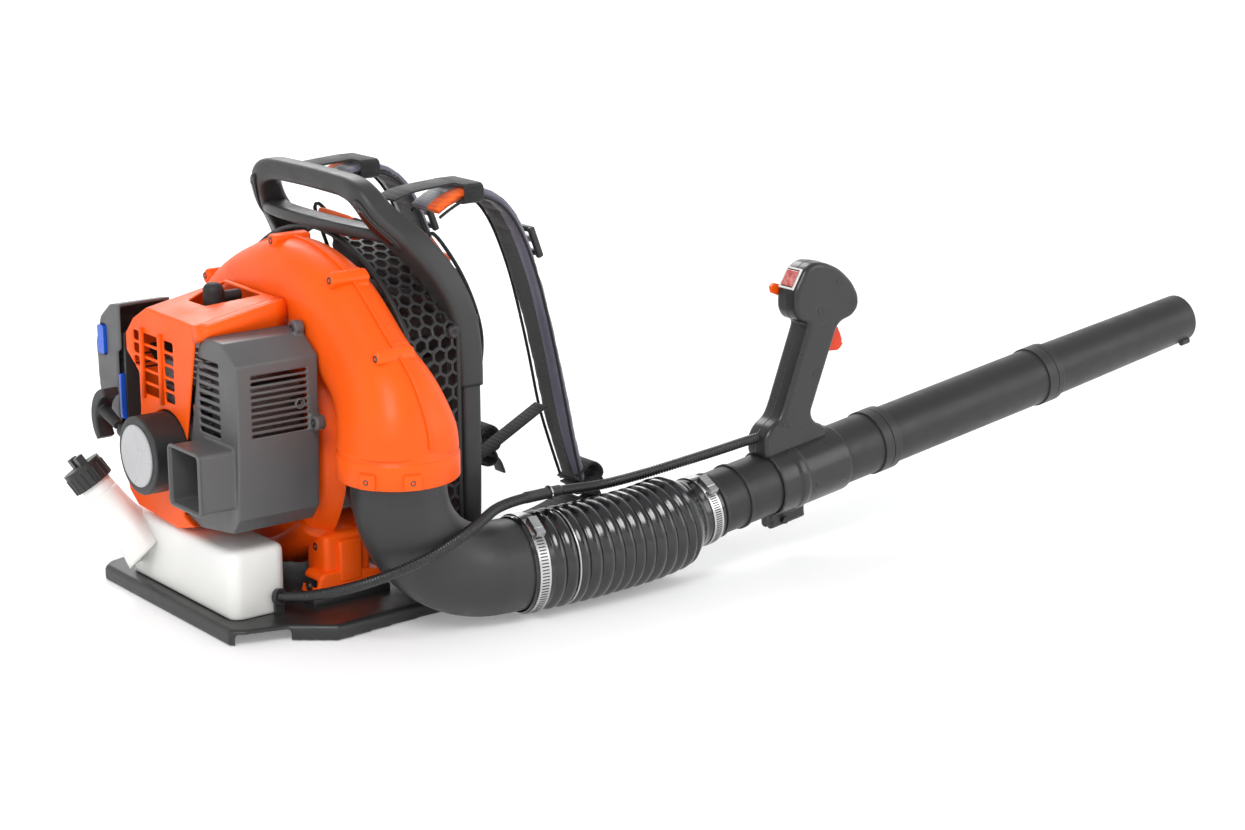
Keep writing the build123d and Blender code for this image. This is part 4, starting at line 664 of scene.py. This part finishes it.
def fan_scroll():
    """Orange scroll and its seam, lofted through the stations."""
    stations = scroll_stations()
    squareness = 0.86
    rings, outer_edge = [], []
    for step in range(141):
        x, z, out_x, out_z, half_width, half_depth = eased(stations, step / 140)
        out = Vector((out_x, 0, out_z)).normalized()
        centre = Vector((x, SEAM_Y, z))
        ring = []
        for c, s in circle(1, 48):
            wide = abs(c) ** squareness * (1 if c > 0 else -1)
            deep = abs(s) ** squareness * (1 if s > 0 else -1)
            ring.append(centre + out * half_width * wide + FORWARD * half_depth * deep)
        rings.append(ring)
        outer_edge.append(centre + out * (half_width + 0.0006))
    piece("fan_scroll", *skin(rings), "orange_shell", "unit",
          replaces=("fan_housing_rear", "fan_housing_front"))
    sweep("scroll_seam", outer_edge[8:-6], 0.0044, 0.0044, 0.0015, "orange_shell", up=FORWARD, steps=2)


def scroll_faces():
    """End faces of the scroll and the wire guard over the air intake."""
    rear = [(0.03, -0.002), (0.07, -0.004), (0.118, -0.0035), (0.124, -0.001), (0.136, 0.004), (0.141, 0.01),
            (0.15, 0.03)]
    lathe("scroll_rear_face", rear, (0, 0, SHAFT_Z), FORWARD, "orange_shell", "unit")
    front = [(0.15, 0.055), (0.14, 0.078), (0.13, 0.084), (0.097, 0.0865), (0.092, 0.089), (0.088, 0.0865),
             (0.087, 0.07)]
    lathe("scroll_front_face", front, (0, 0, SHAFT_Z), FORWARD, "orange_shell", "unit")
    guard_y = 0.0845
    for ring in range(1, 5):
        hoop = [shaft_point(0.018 * ring + 0.008, 360 * k / 60, guard_y) for k in range(61)]
        rod(f"intake_hoop_{ring}", hoop, 0.0014, 8, "dark_plastic", "unit", FORWARD)
    for spoke in range(8):
        line = [shaft_point(0.006, 45 * spoke, guard_y), shaft_point(0.089, 45 * spoke, guard_y)]
        rod(f"intake_spoke_{spoke + 1}", line, 0.0016, 8, "dark_plastic", "unit", FORWARD)


def scroll_bosses():
    """Screw bosses on the seam and the collar round the outlet."""
    for number, (angle, radius) in enumerate(((129, 0.2115), (84, 0.232), (54, 0.253), (29, 0.2735)), 1):
        out = shaft_point(1, angle, 0) - shaft_point(0, angle, 0)
        axes = (FORWARD.cross(out), FORWARD, out)
        block(f"scroll_boss_{number}", shaft_point(radius, angle, SEAM_Y - 0.003), (0.017, 0.05, 0.015),
              "orange_shell", "unit", axes, 0.0045, 4)
        block(f"boss_lug_{number}", shaft_point(radius - 0.003, angle, SEAM_Y + 0.01), (0.03, 0.02, 0.011),
              "orange_shell", "unit", axes, 0.004, 4)
        head = shaft_point(radius + 0.001, angle, SEAM_Y - 0.0285)
        screw(f"boss_screw_{number}", head, -FORWARD, 0.0042, "unit")
    collar = [(0.0545, 0), (0.0672, 0), (0.069, 0.0018), (0.069, 0.026), (0.0682, 0.0285), (0.0665, 0.0295),
              (0.0664, 0.0335), (0.065, 0.0375), (0.063, 0.04)]
    lathe("outlet_collar", collar, (DUCT_X, SEAM_Y, 0.188), UP, "orange_shell", "unit", 96,
          replaces=("housing_screws",))
    for number, bearing in enumerate((-62, -20), 1):
        out = Vector((cos(radians(bearing)), sin(radians(bearing)), 0))
        centre = Vector((DUCT_X, SEAM_Y, 0.198)) + out * 0.0695
        block(f"collar_pad_{number}", centre, (0.02, 0.006, 0.018), "orange_shell", "unit",
              (UP.cross(out), out, UP), 0.0022)
        screw(f"collar_screw_{number}", centre + out * 0.0032, out, 0.0034, "unit")


fan_scroll()
scroll_faces()
scroll_bosses()

# ---------------------------------------------------------------- honeycomb intake screen
SCREEN_RADIUS = 0.235
SCREEN_X = 0.19
SCREEN_REAR = 0.088
CELL = 0.0098
WEB = 0.0018
BORDER = 0.0025


def screen_profile(side):
    """The screen's line from the top down one side of the unit: an arch, then straight down."""
    line = []
    for step in range(65):
        angle = radians(90 - 54 * step / 64)
        line.append(Vector((side * SCREEN_RADIUS * cos(angle), SHAFT_Z + SCREEN_RADIUS * sin(angle))))
    corner = line[-1]
    for step in range(1, 61):
        line.append(Vector((side * SCREEN_X, corner.y + (0.052 - corner.y) * step / 60)))
    return line


def screen_front(distance):
    """The screen's front edge: narrow on top, where the arms cross it, and wide lower down."""
    share = min(1.0, max(0.0, (distance - 0.1) / 0.1))
    return 0.1395 + 0.0165 * share * share * (3 - 2 * share)


def clipped(y, distance, margin=0.0):
    """y, held between the screen's rear and front edges."""
    return min(max(y, SCREEN_REAR + margin), screen_front(distance) - margin)


def intake_screen(name, side, replaces):
    """A honeycomb screen that wraps the gap between the fan housing and the back frame."""
    line = screen_profile(side)
    lengths = [0.0]
    for before, after in zip(line, line[1:]):
        lengths.append(lengths[-1] + (after - before).length)

    def on_screen(distance, y):
        """The point at a distance down the screen's line."""
        distance = min(max(distance, 0.0), lengths[-1])
        i = next((k for k in range(1, len(lengths)) if lengths[k] >= distance), len(lengths) - 1)
        place = line[i - 1].lerp(line[i], (distance - lengths[i - 1]) / (lengths[i] - lengths[i - 1]))
        return Vector((place.x, y, place.y))

    verts, faces = [], []
    inner = (CELL - WEB * 1.16) / CELL
    for row in range(int(lengths[-1] / (CELL * 1.5)) + 2):
        down = row * CELL * 1.5
        for column in range(-1, 9):
            middle = SCREEN_REAR + (column + 0.5 * (row % 2)) * CELL * 3 ** 0.5
            if middle - CELL > screen_front(down) or middle + CELL < SCREEN_REAR:
                continue
            base = len(verts)
            hexagon = [(down + a, middle + b) for a, b in circle(CELL, 6)]
            verts += [on_screen(distance, clipped(y, distance)) for distance, y in hexagon]
            for distance, y in hexagon:
                reach = down + (distance - down) * inner
                y = middle + (min(max(y, SCREEN_REAR), screen_front(distance)) - middle) * inner
                y = min(max(y, SCREEN_REAR + BORDER), screen_front(distance) - BORDER)
                verts.append(on_screen(reach, clipped(y, reach)))
            faces += [(base + k, base + (k + 1) % 6, base + 6 + (k + 1) % 6, base + 6 + k) for k in range(6)]
    made = piece(name, verts, faces, "dark_plastic", smooth=False, replaces=replaces)
    modify(made, "SOLIDIFY", thickness=0.0035, offset=0)
    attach(made, "unit")
    stations = [lengths[-1] * k / 90 for k in range(91)]
    for edge, offset in (("front", screen_front), ("rear", lambda distance: SCREEN_REAR)):
        border = [on_screen(distance, offset(distance)) for distance in stations]
        sweep(f"{name}_{edge}_edge", border, 0.005, 0.0065, 0.0018, "dark_plastic", up=FORWARD, steps=2)


intake_screen("intake_screen_right", 1, ("intake_screens",))
intake_screen("intake_screen_left", -1, ())

# ---------------------------------------------------------------- back frame and carry handle
HANDLE_Y = 0.087
HANDLE_LINE = [(0.178, 0.174, 0.26), (0.178, 0.175, 0.318), (0.17, 0.158, 0.374), (0.151, 0.127, 0.421),
               (0.127, 0.1, 0.45), (0.111, HANDLE_Y, 0.477), (0.086, HANDLE_Y, 0.4855),
               (0.04, HANDLE_Y, 0.4865), (0, HANDLE_Y, 0.487)]


def back_frame():
    """Dark moulded back frame with its arched carry handle and arms."""
    line = smooth_line(HANDLE_LINE + [(-x, y, z) for x, y, z in HANDLE_LINE[-2::-1]], 170)[0]

    def section(i, share):
        grip = min(1, 1.6 * max(0.0, 1 - abs(share - 0.5) / 0.24))
        return rounded_oblong(0.034 - 0.009 * grip, 0.034 - 0.006 * grip, 0.0085, 5)

    piece("carry_handle", *skin(sweep_rings(line, section, FORWARD)), "gray_plastic", "unit",
          replaces=("back_frame",))
    bar = smooth_line([(-0.138, 0.115, 0.432), (-0.1, HANDLE_Y + 0.004, 0.4355), (0, HANDLE_Y, 0.435),
                       (0.1, HANDLE_Y + 0.004, 0.4355), (0.138, 0.115, 0.432)], 60)[0]
    sweep("handle_lower_bar", bar, 0.014, 0.03, 0.005, "gray_plastic", up=FORWARD)
    for name, side in SIDES:
        mirrored = [Vector((side * p.x, p.y, p.z)) for p in line[:85] if 0.424 < p.z < 0.479 and p.x > 0.1]
        faced = []
        for before, here, after in zip(mirrored, mirrored[1:], mirrored[2:]):
            ahead = (after - before).normalized()
            across = ahead.cross(FORWARD).normalized()
            above = across.cross(ahead).normalized()
            faced.append(here - above * 0.0168)
        sweep(f"handle_slot_rim_{name}", faced, 0.0145, 0.003, 0.0012, "gray_plastic", up=FORWARD, ends=0.55)
        sweep(f"handle_slot_{name}", [p - FORWARD * 0.0011 for p in faced[2:-2]], 0.0078, 0.003, 0.001,
              "black_gloss", up=FORWARD, ends=0.6)
        heights = ((0.178, 0.34), (0.18, 0.3), (0.18, 0.12), (0.174, 0.06), (0.16, 0.022))
        rail = smooth_line([(side * x, 0.174, z) for x, z in heights], 60)[0]
        sweep(f"frame_rail_{name}", rail, 0.027, 0.026, 0.006, "gray_plastic", up=FORWARD)
        for number, height in enumerate((0.327, 0.165), 1):
            button = [(0.0075, -0.004), (0.0075, 0.001), (0.0062, 0.0022), (0.003, 0.0022), (0.0022, 0.0008),
                      (0, 0.0008)]
            lathe(f"screen_button_{name}_{number}", button, (side * 0.1935, 0.1485, height), (side, 0, 0),
                  "dark_plastic", "unit", 24)
    outline = rounded([(-0.15, 0.02), (0.15, 0.02), (0.182, 0.06), (0.182, 0.31), (0.155, 0.352),
                       (-0.155, 0.352), (-0.182, 0.31), (-0.182, 0.06)], 0.02)
    windows = [rounded([(x - 0.034, 0.06), (x + 0.034, 0.06), (x + 0.034, 0.12), (x - 0.034, 0.12)], 0.012)
               for x in (-0.09, 0, 0.09)]
    plate("back_plate", outline, 0.008, lambda a, b, c: (a, 0.176 + c, b), "gray_plastic", "unit", 0.002, 3,
          windows)
    for height in (0.045, 0.14, 0.33):
        rib = [Vector((x, 0.167, height)) for x in (-0.172, 0, 0.172)]
        sweep(f"frame_rib_{round(height * 1000)}", rib, 0.012, 0.01, 0.003, "gray_plastic")


back_frame()


# ---------------------------------------------------------------- moulded shells from the CAD shapes
def softened(name, nodes, material, voxel, passes, body="unit"):
    """The CAD shape with its edges rounded as a moulding's are: a fine remesh, smoothed."""
    made = placed(name, frame["nodes"][nodes[0]].data.copy())
    made.data.materials.clear()
    made.data.materials.append(materials[material])
    modify(made, "REMESH", mode="VOXEL", voxel_size=voxel, use_smooth_shade=True)
    modify(made, "SMOOTH", factor=0.5, iterations=passes)
    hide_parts(*nodes)
    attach(made, body)


softened("shroud_shell", ["engine_shroud"], "orange_shell", 0.0015, 4)
softened("muffler_cover_shell", ["muffler_cover"], "cover_plastic", 0.0014, 3)
softened("tank_shell", ["fuel_tank"], "white_tank", 0.0022, 10)
softened("base_moulding", ["base_plate"], "base_plastic", 0.0022, 7)
softened("filter_cover_shell", ["air_filter_cover"], "cover_plastic", 0.0016, 6, "filter_cover")
softened("starter_ring", ["starter_housing"], "dark_plastic", 0.0014, 4)
softened("bracket_moulding", ["foot_bracket"], "orange_shell", 0.0016, 6)
softened("grip_saddle", ["handle_sleeve"], "dark_gloss", 0.0016, 5, "handle")
softened("pull_grip", ["starter_grip"], "dark_plastic", 0.0012, 4, "starter_grip")
softened("boot_moulding", ["plug_boot"], "rubber", 0.0012, 5)


def starter_cord():
    """Pull cord from the starter's guide to the grip."""
    guide = Vector((-0.057, -0.142, 0.206))
    ahead = Vector((-0.951, 0, 0.309))
    line = [guide + ahead * (0.005 + 0.018 * i / 36) for i in range(37)]
    cord = rod("starter_cord", line, 0.0019, 14, "web_fabric", replaces=("starter_rope",))
    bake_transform(cord)


def shell_details():
    """Orange trim, feet and screws around the engine shells."""
    rings = []
    for step in range(9):
        share = step / 8
        rise = 0.02 * share
        shoulder = [(0.066, 0.327), (0.085, 0.3345), (0.0905, 0.3385 + 0.75 * rise), (0.088, 0.3465 + rise),
                    (0.079, 0.3495 + rise), (0.066, 0.3485 + rise)]
        rings.append([Vector((x, -0.1155 + 0.108 * share, z)) for x, z in rounded(shoulder, 0.006, 4)])
    piece("shroud_shoulder", *skin(rings), "orange_shell", "unit")
    for name, side in SIDES:
        block(f"housing_foot_{name}", (side * 0.107, 0.041, 0.068), (0.044, 0.062, 0.052), "orange_shell",
              "unit", None, 0.007, 4)
        block(f"housing_foot_rib_{name}", (side * 0.131, 0.041, 0.062), (0.008, 0.03, 0.05), "orange_shell",
              "unit")
        block(f"foot_pedestal_{name}", (side * 0.116, 0.038, 0.0215), (0.05, 0.104, 0.011), "base_plastic",
              "unit", slot="dark_plastic")
        screw(f"foot_screw_{name}_1", (side * 0.118, -0.0086, 0.036), -FORWARD, 0.0045, "unit")
        screw(f"foot_screw_{name}_2", (side * 0.107, 0.0092, 0.078), -FORWARD, 0.0045, "unit")
    for number, (x, z) in enumerate(((0.158, 0.24), (0.118, 0.341)), 1):
        screw(f"cover_screw_{number}", (x, -0.0185, z), -FORWARD, 0.0048, "unit")
    # painted shade: a glossy black disc just inside the peephole stands in for the dark inside of the hole
    shadow = [(0.0043, 0.0002), (0.0043, -0.0008), (0, -0.0009)]
    lathe("peephole_painted_shade", shadow, (0.1522, -0.03, 0.2635), RIGHT, "black_gloss", "unit", 20)
    hole = [(0.0062, -0.003), (0.0062, 0.0006), (0.0052, 0.0012), (0.0044, 0.0006), (0.0044, -0.0008),
            (0, -0.0009)]
    lathe("cover_peephole", hole, (0.1517, -0.03, 0.2635), RIGHT, "cover_plastic", "unit", 28,
          slot="gray_plastic")
    for number, x in enumerate((-0.052, -0.0085), 1):
        bar = [Vector((x, -0.1165, 0.243)), Vector((x, -0.1165, 0.325))]
        sweep(f"grille_bar_{number}", bar, 0.005, 0.006, 0.0018, "orange_shell", up=RIGHT)
    rim = [Vector((0.109 + a, -0.1545, 0.187 + b)) for a, b in rounded_oblong(0.0675, 0.0685, 0.006, 6)]
    band("exhaust_lip", rim, FORWARD, circle(0.0021, 10), "cover_plastic", "unit", slot="gray_plastic")


def clamp_slots(name, centre, axis, radius, body):
    """The worm thread's slots: short dark bars across a hose clamp's band."""
    axis = Vector(axis).normalized()
    side = axis.orthogonal().normalized()
    other = axis.cross(side)
    square = ((-1, -1), (1, -1), (1, 1), (-1, 1))
    sides = ((0, 3, 2, 1), (4, 5, 6, 7), (0, 1, 5, 4), (1, 2, 6, 5), (2, 3, 7, 6), (3, 0, 4, 7))
    verts, faces = [], []
    for k in range(40):
        turn = tau * k / 96
        out = side * cos(turn) + other * sin(turn)
        around = axis.cross(out)
        faces += [tuple(len(verts) + i for i in face) for face in sides]
        for depth in (radius - 0.0006, radius + 0.0003):
            middle = Vector(centre) + out * depth
            verts += [middle + axis * 0.0044 * a + around * 0.0007 * b for a, b in square]
    piece(name, verts, faces, "black_gloss", body, smooth=False)


shell_details()
starter_cord()
clamp_slots("clamp_slots_rear", (0.2553, 0.1951, 0.059), (8, 66, 0), 0.0584, "unit")
clamp_slots("clamp_slots_front", (TUBE_X, 0.454, tube_z(0.454)), TUBE_DIR, 0.0435, "tube")

# ---------------------------------------------------------------- control handle and tank neck
GRIP_HALF = 0.0185
GRIP_PROFILE = [(0.548, 0.122), (0.548, 0.15), (0.556, 0.162), (0.572, 0.172), (0.579, 0.186), (0.617, 0.286),
                (0.6, 0.292), (0.593, 0.304), (0.593, 0.327), (0.61, 0.355), (0.624, 0.361), (0.642, 0.359),
                (0.666, 0.349), (0.688, 0.33), (0.699, 0.312), (0.7, 0.297), (0.69, 0.286), (0.666, 0.28),
                (0.623, 0.172), (0.63, 0.16), (0.648, 0.152), (0.652, 0.136)]
GRIP_SCREWS = [(0.664, 0.332), (0.634, 0.3), (0.69, 0.303), (0.628, 0.222), (0.58, 0.165)]
TRIGGER_PROFILE = [(0.645, 0.292), (0.649, 0.299), (0.658, 0.299), (0.664, 0.291), (0.673, 0.276),
                   (0.682, 0.26), (0.684, 0.247), (0.677, 0.2415), (0.664, 0.243), (0.65, 0.243),
                   (0.645, 0.262)]
TRIGGER_RIDGES = [(0.672, 0.2765), (0.676, 0.2695), (0.6795, 0.2625), (0.6825, 0.2555), (0.6838, 0.249)]


def control_handle():
    """Pistol grip with the seam of its two halves, its screws and a ridged trigger."""
    outline = rounded(GRIP_PROFILE, 0.03, 7)
    plate("grip_body", outline, 2 * GRIP_HALF, lambda a, b, c: (TUBE_X + c, a, b), "dark_gloss", "handle",
          0.0065, 6, slot="dark_plastic", replaces=("handle_shell_left", "handle_shell_right"))
    seam = [Vector((TUBE_X, a, b)) for a, b in outline]
    band("grip_seam", seam, RIGHT, circle(0.0005, 6), "black_gloss", "handle")
    socket = [(0.0044, -0.0015), (0.0044, 0.0003), (0.0036, 0.0003), (0.003, -0.0008), (0, -0.001)]
    for number, (y, z) in enumerate(GRIP_SCREWS, 1):
        lathe(f"grip_screw_{number}", socket, (TUBE_X + GRIP_HALF, y, z), RIGHT, "black_screw", "handle", 20,
              slot="dark_plastic")
    plate("trigger_blade", rounded(TRIGGER_PROFILE, 0.008), 0.0118, lambda a, b, c: (TUBE_X + c, a, b),
          "red_plastic", "trigger", replaces=("trigger",))
    for number, (y, z) in enumerate(TRIGGER_RIDGES, 1):
        ridge = [Vector((TUBE_X - 0.0045, y, z)), Vector((TUBE_X + 0.0045, y, z))]
        rod(f"trigger_ridge_{number}", ridge, 0.0013, 10, "red_plastic", "trigger", FORWARD)


def tank_neck():
    """Blow-moulded shoulder that widens from the filler neck into the tank."""
    axis = Vector((-0.36, -0.45, 0.817)).normalized()
    start = Vector((-0.126, -0.158, 0.142)) - axis * 0.028
    line = [start - axis * 0.082 * k / 20 + Vector((0.012, 0.004, 0)) * (k / 20) ** 2 for k in range(21)]

    def section(i, share):
        grow = share * share
        return rounded_oblong(0.0405 + 0.045 * grow, 0.0405 + 0.008 * grow, 0.0195, 8)

    piece("tank_shoulder", *skin(sweep_rings(line, section)), "white_tank", "unit")


control_handle()
tank_neck()

# ---------------------------------------------------------------- harness
STRAP_ROUTE = [(0.166, 0.452), (0.196, 0.47), (0.23, 0.472), (0.262, 0.456), (0.286, 0.424), (0.31, 0.366),
               (0.326, 0.308), (0.34, 0.25), (0.351, 0.196), (0.364, 0.146), (0.381, 0.092)]
STRAP_X = 0.11
STRAP_STEPS = 110
PAD_PROFILE = [(0.1895, 0.153), (0.1895, 0.345), (0.17, 0.4), (0.161, 0.425), (0.167, 0.431), (0.184, 0.412),
               (0.211, 0.371), (0.231, 0.322), (0.2365, 0.286), (0.2285, 0.245), (0.2095, 0.182),
               (0.198, 0.153)]
PAD_BACK = 0.192
CLOTH_FRAMES = 20


def inflate(made, pressure, cap, hold=None):
    """Blows a soft piece up as cloth; cap limits each point's move and hold(start, move) may pin it."""
    modify(made, "REMESH", mode="VOXEL", voxel_size=0.005)
    before = [v.co.copy() for v in made.data.vertices]
    cloth = made.modifiers.new("cloth", "CLOTH")
    settings = cloth.settings
    settings.use_pressure = True
    settings.uniform_pressure_force = pressure
    settings.effector_weights.gravity = 0
    settings.quality = 5
    cloth.collision_settings.use_collision = False
    cloth.point_cache.frame_end = CLOTH_FRAMES
    for frame_number in range(1, CLOTH_FRAMES + 1):
        scene.frame_set(frame_number)
    bake_modifiers(made)
    scene.frame_set(1)
    for start, vertex in zip(before, made.data.vertices):
        move = vertex.co - start
        if move.length > cap:
            move *= cap / move.length
        vertex.co = start + (hold(start, move) if hold else move)
    modify(made, "SUBSURF", levels=1)
    for polygon in made.data.polygons:
        polygon.use_smooth = True


def groove(made, lines, depth, width):
    """Presses sewn channels into a soft piece; each line is a function from a point to its distance."""
    for vertex in made.data.vertices:
        nearest = min(abs(line(vertex.co)) for line in lines)
        vertex.co -= vertex.normal * depth * exp(-(nearest / width) ** 2)


def against_frame(start, move):
    """Keeps the cushion's back from moving into the frame."""
    return Vector((move.x, 0 if start.y < PAD_BACK else move.y, move.z))


def back_pad():
    """Padded back cushion: spacer mesh with sewn channels, piped edges and orange trim at its top."""
    stations = (-0.122, -0.08, -0.04, 0, 0.04, 0.08, 0.122)
    rings = [[Vector((x, y, z)) for y, z in PAD_PROFILE] for x in stations]
    made = piece("back_cushion", *skin(rings), "pad_mesh", slot="pad_fabric", replaces=("back_pad",))
    inflate(made, 4, 0.007, against_frame)
    channel = 0.052
    lines = [
        lambda p: p.x - channel,
        lambda p: p.x + channel,
        lambda p: p.z - 0.235 if abs(p.x) < channel else 1,
        lambda p: p.z - 0.3 if abs(p.x) < channel else 1,
        lambda p: p.z - 0.385,
    ]
    groove(made, lines, 0.0035, 0.005)
    made.data.materials.append(materials["orange_fabric"])
    for polygon in made.data.polygons:
        if polygon.center.z > 0.389 and abs(polygon.center.x) > 0.04:
            polygon.material_index = 1
    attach(made, "unit")
    edge = smooth_line([(0, y, z) for y, z in PAD_PROFILE[1:]], 90)[0]
    for name, side in SIDES:
        piping = [Vector((side * 0.1245, p.y, p.z)) for p in edge]
        rod(f"pad_piping_{name}", piping, 0.0024, 10, "web_fabric", "unit", RIGHT)


def flat_frames(points, count):
    """Points and outward normals along a strap that runs in an upright plane and lies flat across X."""
    line = smooth_line(points, count)[0]
    frames = []
    for i, here in enumerate(line):
        ahead = (line[min(i + 1, count - 1)] - line[max(i - 1, 0)]).normalized()
        frames.append((here, RIGHT.cross(ahead).normalized()))
    return frames


def strap_taper(i):
    """The strap's share of its full width at a station; it narrows near its lower end."""
    return 1 - 0.28 * max(0.0, i / (STRAP_STEPS - 1) - 0.8) / 0.2


def shoulder_strap(name, side):
    """Padded shoulder strap: satin outer face, mesh inner face, orange trim at the top and piped edges."""
    frames = flat_frames([(side * STRAP_X, y, z) for y, z in STRAP_ROUTE], STRAP_STEPS)
    rings = []
    for i, (here, out) in enumerate(frames):
        section = rounded_oblong(0.058 * strap_taper(i), 0.0105, 0.005, 3)
        rings.append([here + RIGHT * a + out * b for a, b in section])
    made = piece(f"shoulder_strap_{name}", *skin(rings), "pad_mesh", slot="pad_fabric",
                 replaces=("shoulder_straps",) if side > 0 else ())
    inflate(made, 3, 0.003)
    for material in ("satin", "orange_fabric"):
        made.data.materials.append(materials[material])
    for polygon in made.data.polygons:
        place = min(range(0, STRAP_STEPS, 3), key=lambda i: (frames[i][0] - polygon.center).length_squared)
        offset = side * polygon.center.x - STRAP_X
        if polygon.normal.dot(frames[place][1]) > -0.15 or offset > 0.0125:
            polygon.material_index = 2 if place < 15 and offset > 0.008 else 1
    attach(made, "unit")
    for edge, sign in (("inner", -1), ("outer", 1)):
        piping = [here + RIGHT * sign * 0.0295 * strap_taper(i) - out * 0.0045
                  for i, (here, out) in enumerate(frames)]
        rod(f"strap_piping_{name}_{edge}", piping, 0.0019, 8, "web_fabric", "unit", RIGHT)


def ribbon(name, points, width, thickness, **facts):
    """A webbing band along a route in an upright plane, lying flat across X."""
    section = rounded_oblong(width, thickness, thickness * 0.45, 2)
    rings = [[here + RIGHT * a + out * b for a, b in section] for here, out in flat_frames(points, 60)]
    piece(name, *skin(rings), "web_fabric", "unit", **facts)


WEBBING = {
    "lifter": ([(0.114, 0.472), (0.13, 0.4775), (0.152, 0.481), (0.197, 0.4835)], 0.04),
    "lower": ([(0.376, 0.074), (0.338, 0.06), (0.284, 0.054), (0.232, 0.06), (0.19, 0.078)], 0.04),
    "middle": ([(0.19, 0.13), (0.222, 0.142), (0.256, 0.158), (0.331, 0.196)], 0.026),
}
# how far each fold of the loose strap end reaches out, is lifted and is shifted sideways
STRAP_FOLDS = ((0.03, 0.016, 0.004), (0.038, 0.0, -0.006), (0.024, -0.013, 0.008))


def harness_webbing(name, side):
    """Lifter strap, lower and middle straps, strap loop and the loose strap end of one side."""
    x = side * STRAP_X
    for kind, (route, width) in WEBBING.items():
        ribbon(f"{kind}_webbing_{name}", [(x, y, z) for y, z in route], width, 0.0024,
               replaces=("webbing",) if side > 0 and kind == "lifter" else ())
    loop = [Vector((x + a, 0.214, 0.4715 + b)) for a, b in rounded_oblong(0.0665, 0.0215, 0.007, 5)]
    band(f"strap_loop_{name}", loop, FORWARD, rounded_oblong(0.027, 0.0022, 0.0009, 2), "web_fabric", "unit")
    root = 0.372
    for fold, (reach, lift, shift) in enumerate(STRAP_FOLDS, 1):
        tail = [(x + shift, root, 0.094 + lift * 0.5), (x + shift, root + reach * 0.6, 0.104 + lift),
                (x + shift + 0.004, root + 0.002 + reach, 0.096 + lift),
                (x + shift + 0.005, root + 0.004 + reach, 0.082 + lift),
                (x + shift, root + reach * 0.5, 0.076 + lift), (x, root, 0.08 + lift * 0.5)]
        ribbon(f"strap_end_{name}_{fold}", tail, 0.036, 0.003)
    tip = [(x + 0.012, 0.378, 0.082), (x + 0.016, 0.398, 0.078), (x + 0.014, 0.41, 0.066),
           (x + 0.012, 0.416, 0.05)]
    ribbon(f"strap_tip_{name}", tip, 0.022, 0.003)


BUCKLE_BARS = ((0.0165, "dark_plastic"), (0.003, "pale_plastic"), (-0.0155, "dark_plastic"))


def strap_buckle(name, side):
    """Ladder buckle: a dark frame with three bars, the middle one pale."""
    out = Vector((0, 0.935, 0.354)).normalized()
    down = Vector((0, -0.354, 0.935)).normalized()
    axes = (RIGHT, down, out)
    centre = Vector((side * STRAP_X, 0.306, 0.4)) + out * 0.0045
    for number, offset in enumerate((-0.0195, 0.0195), 1):
        block(f"buckle_{name}_rail_{number}", centre + RIGHT * offset, (0.007, 0.04, 0.008), "dark_plastic",
              "unit", axes, 0.002, replaces=("buckles",) if side > 0 and number == 1 else ())
    for number, (offset, tint) in enumerate(BUCKLE_BARS, 1):
        block(f"buckle_{name}_bar_{number}", centre + down * offset + out * 0.001, (0.036, 0.0072, 0.0066),
              tint, "unit", axes, 0.0022, slot="dark_plastic")


back_pad()
for make in (shoulder_strap, harness_webbing, strap_buckle):
    for hand, hand_side in SIDES:
        make(hand, hand_side)
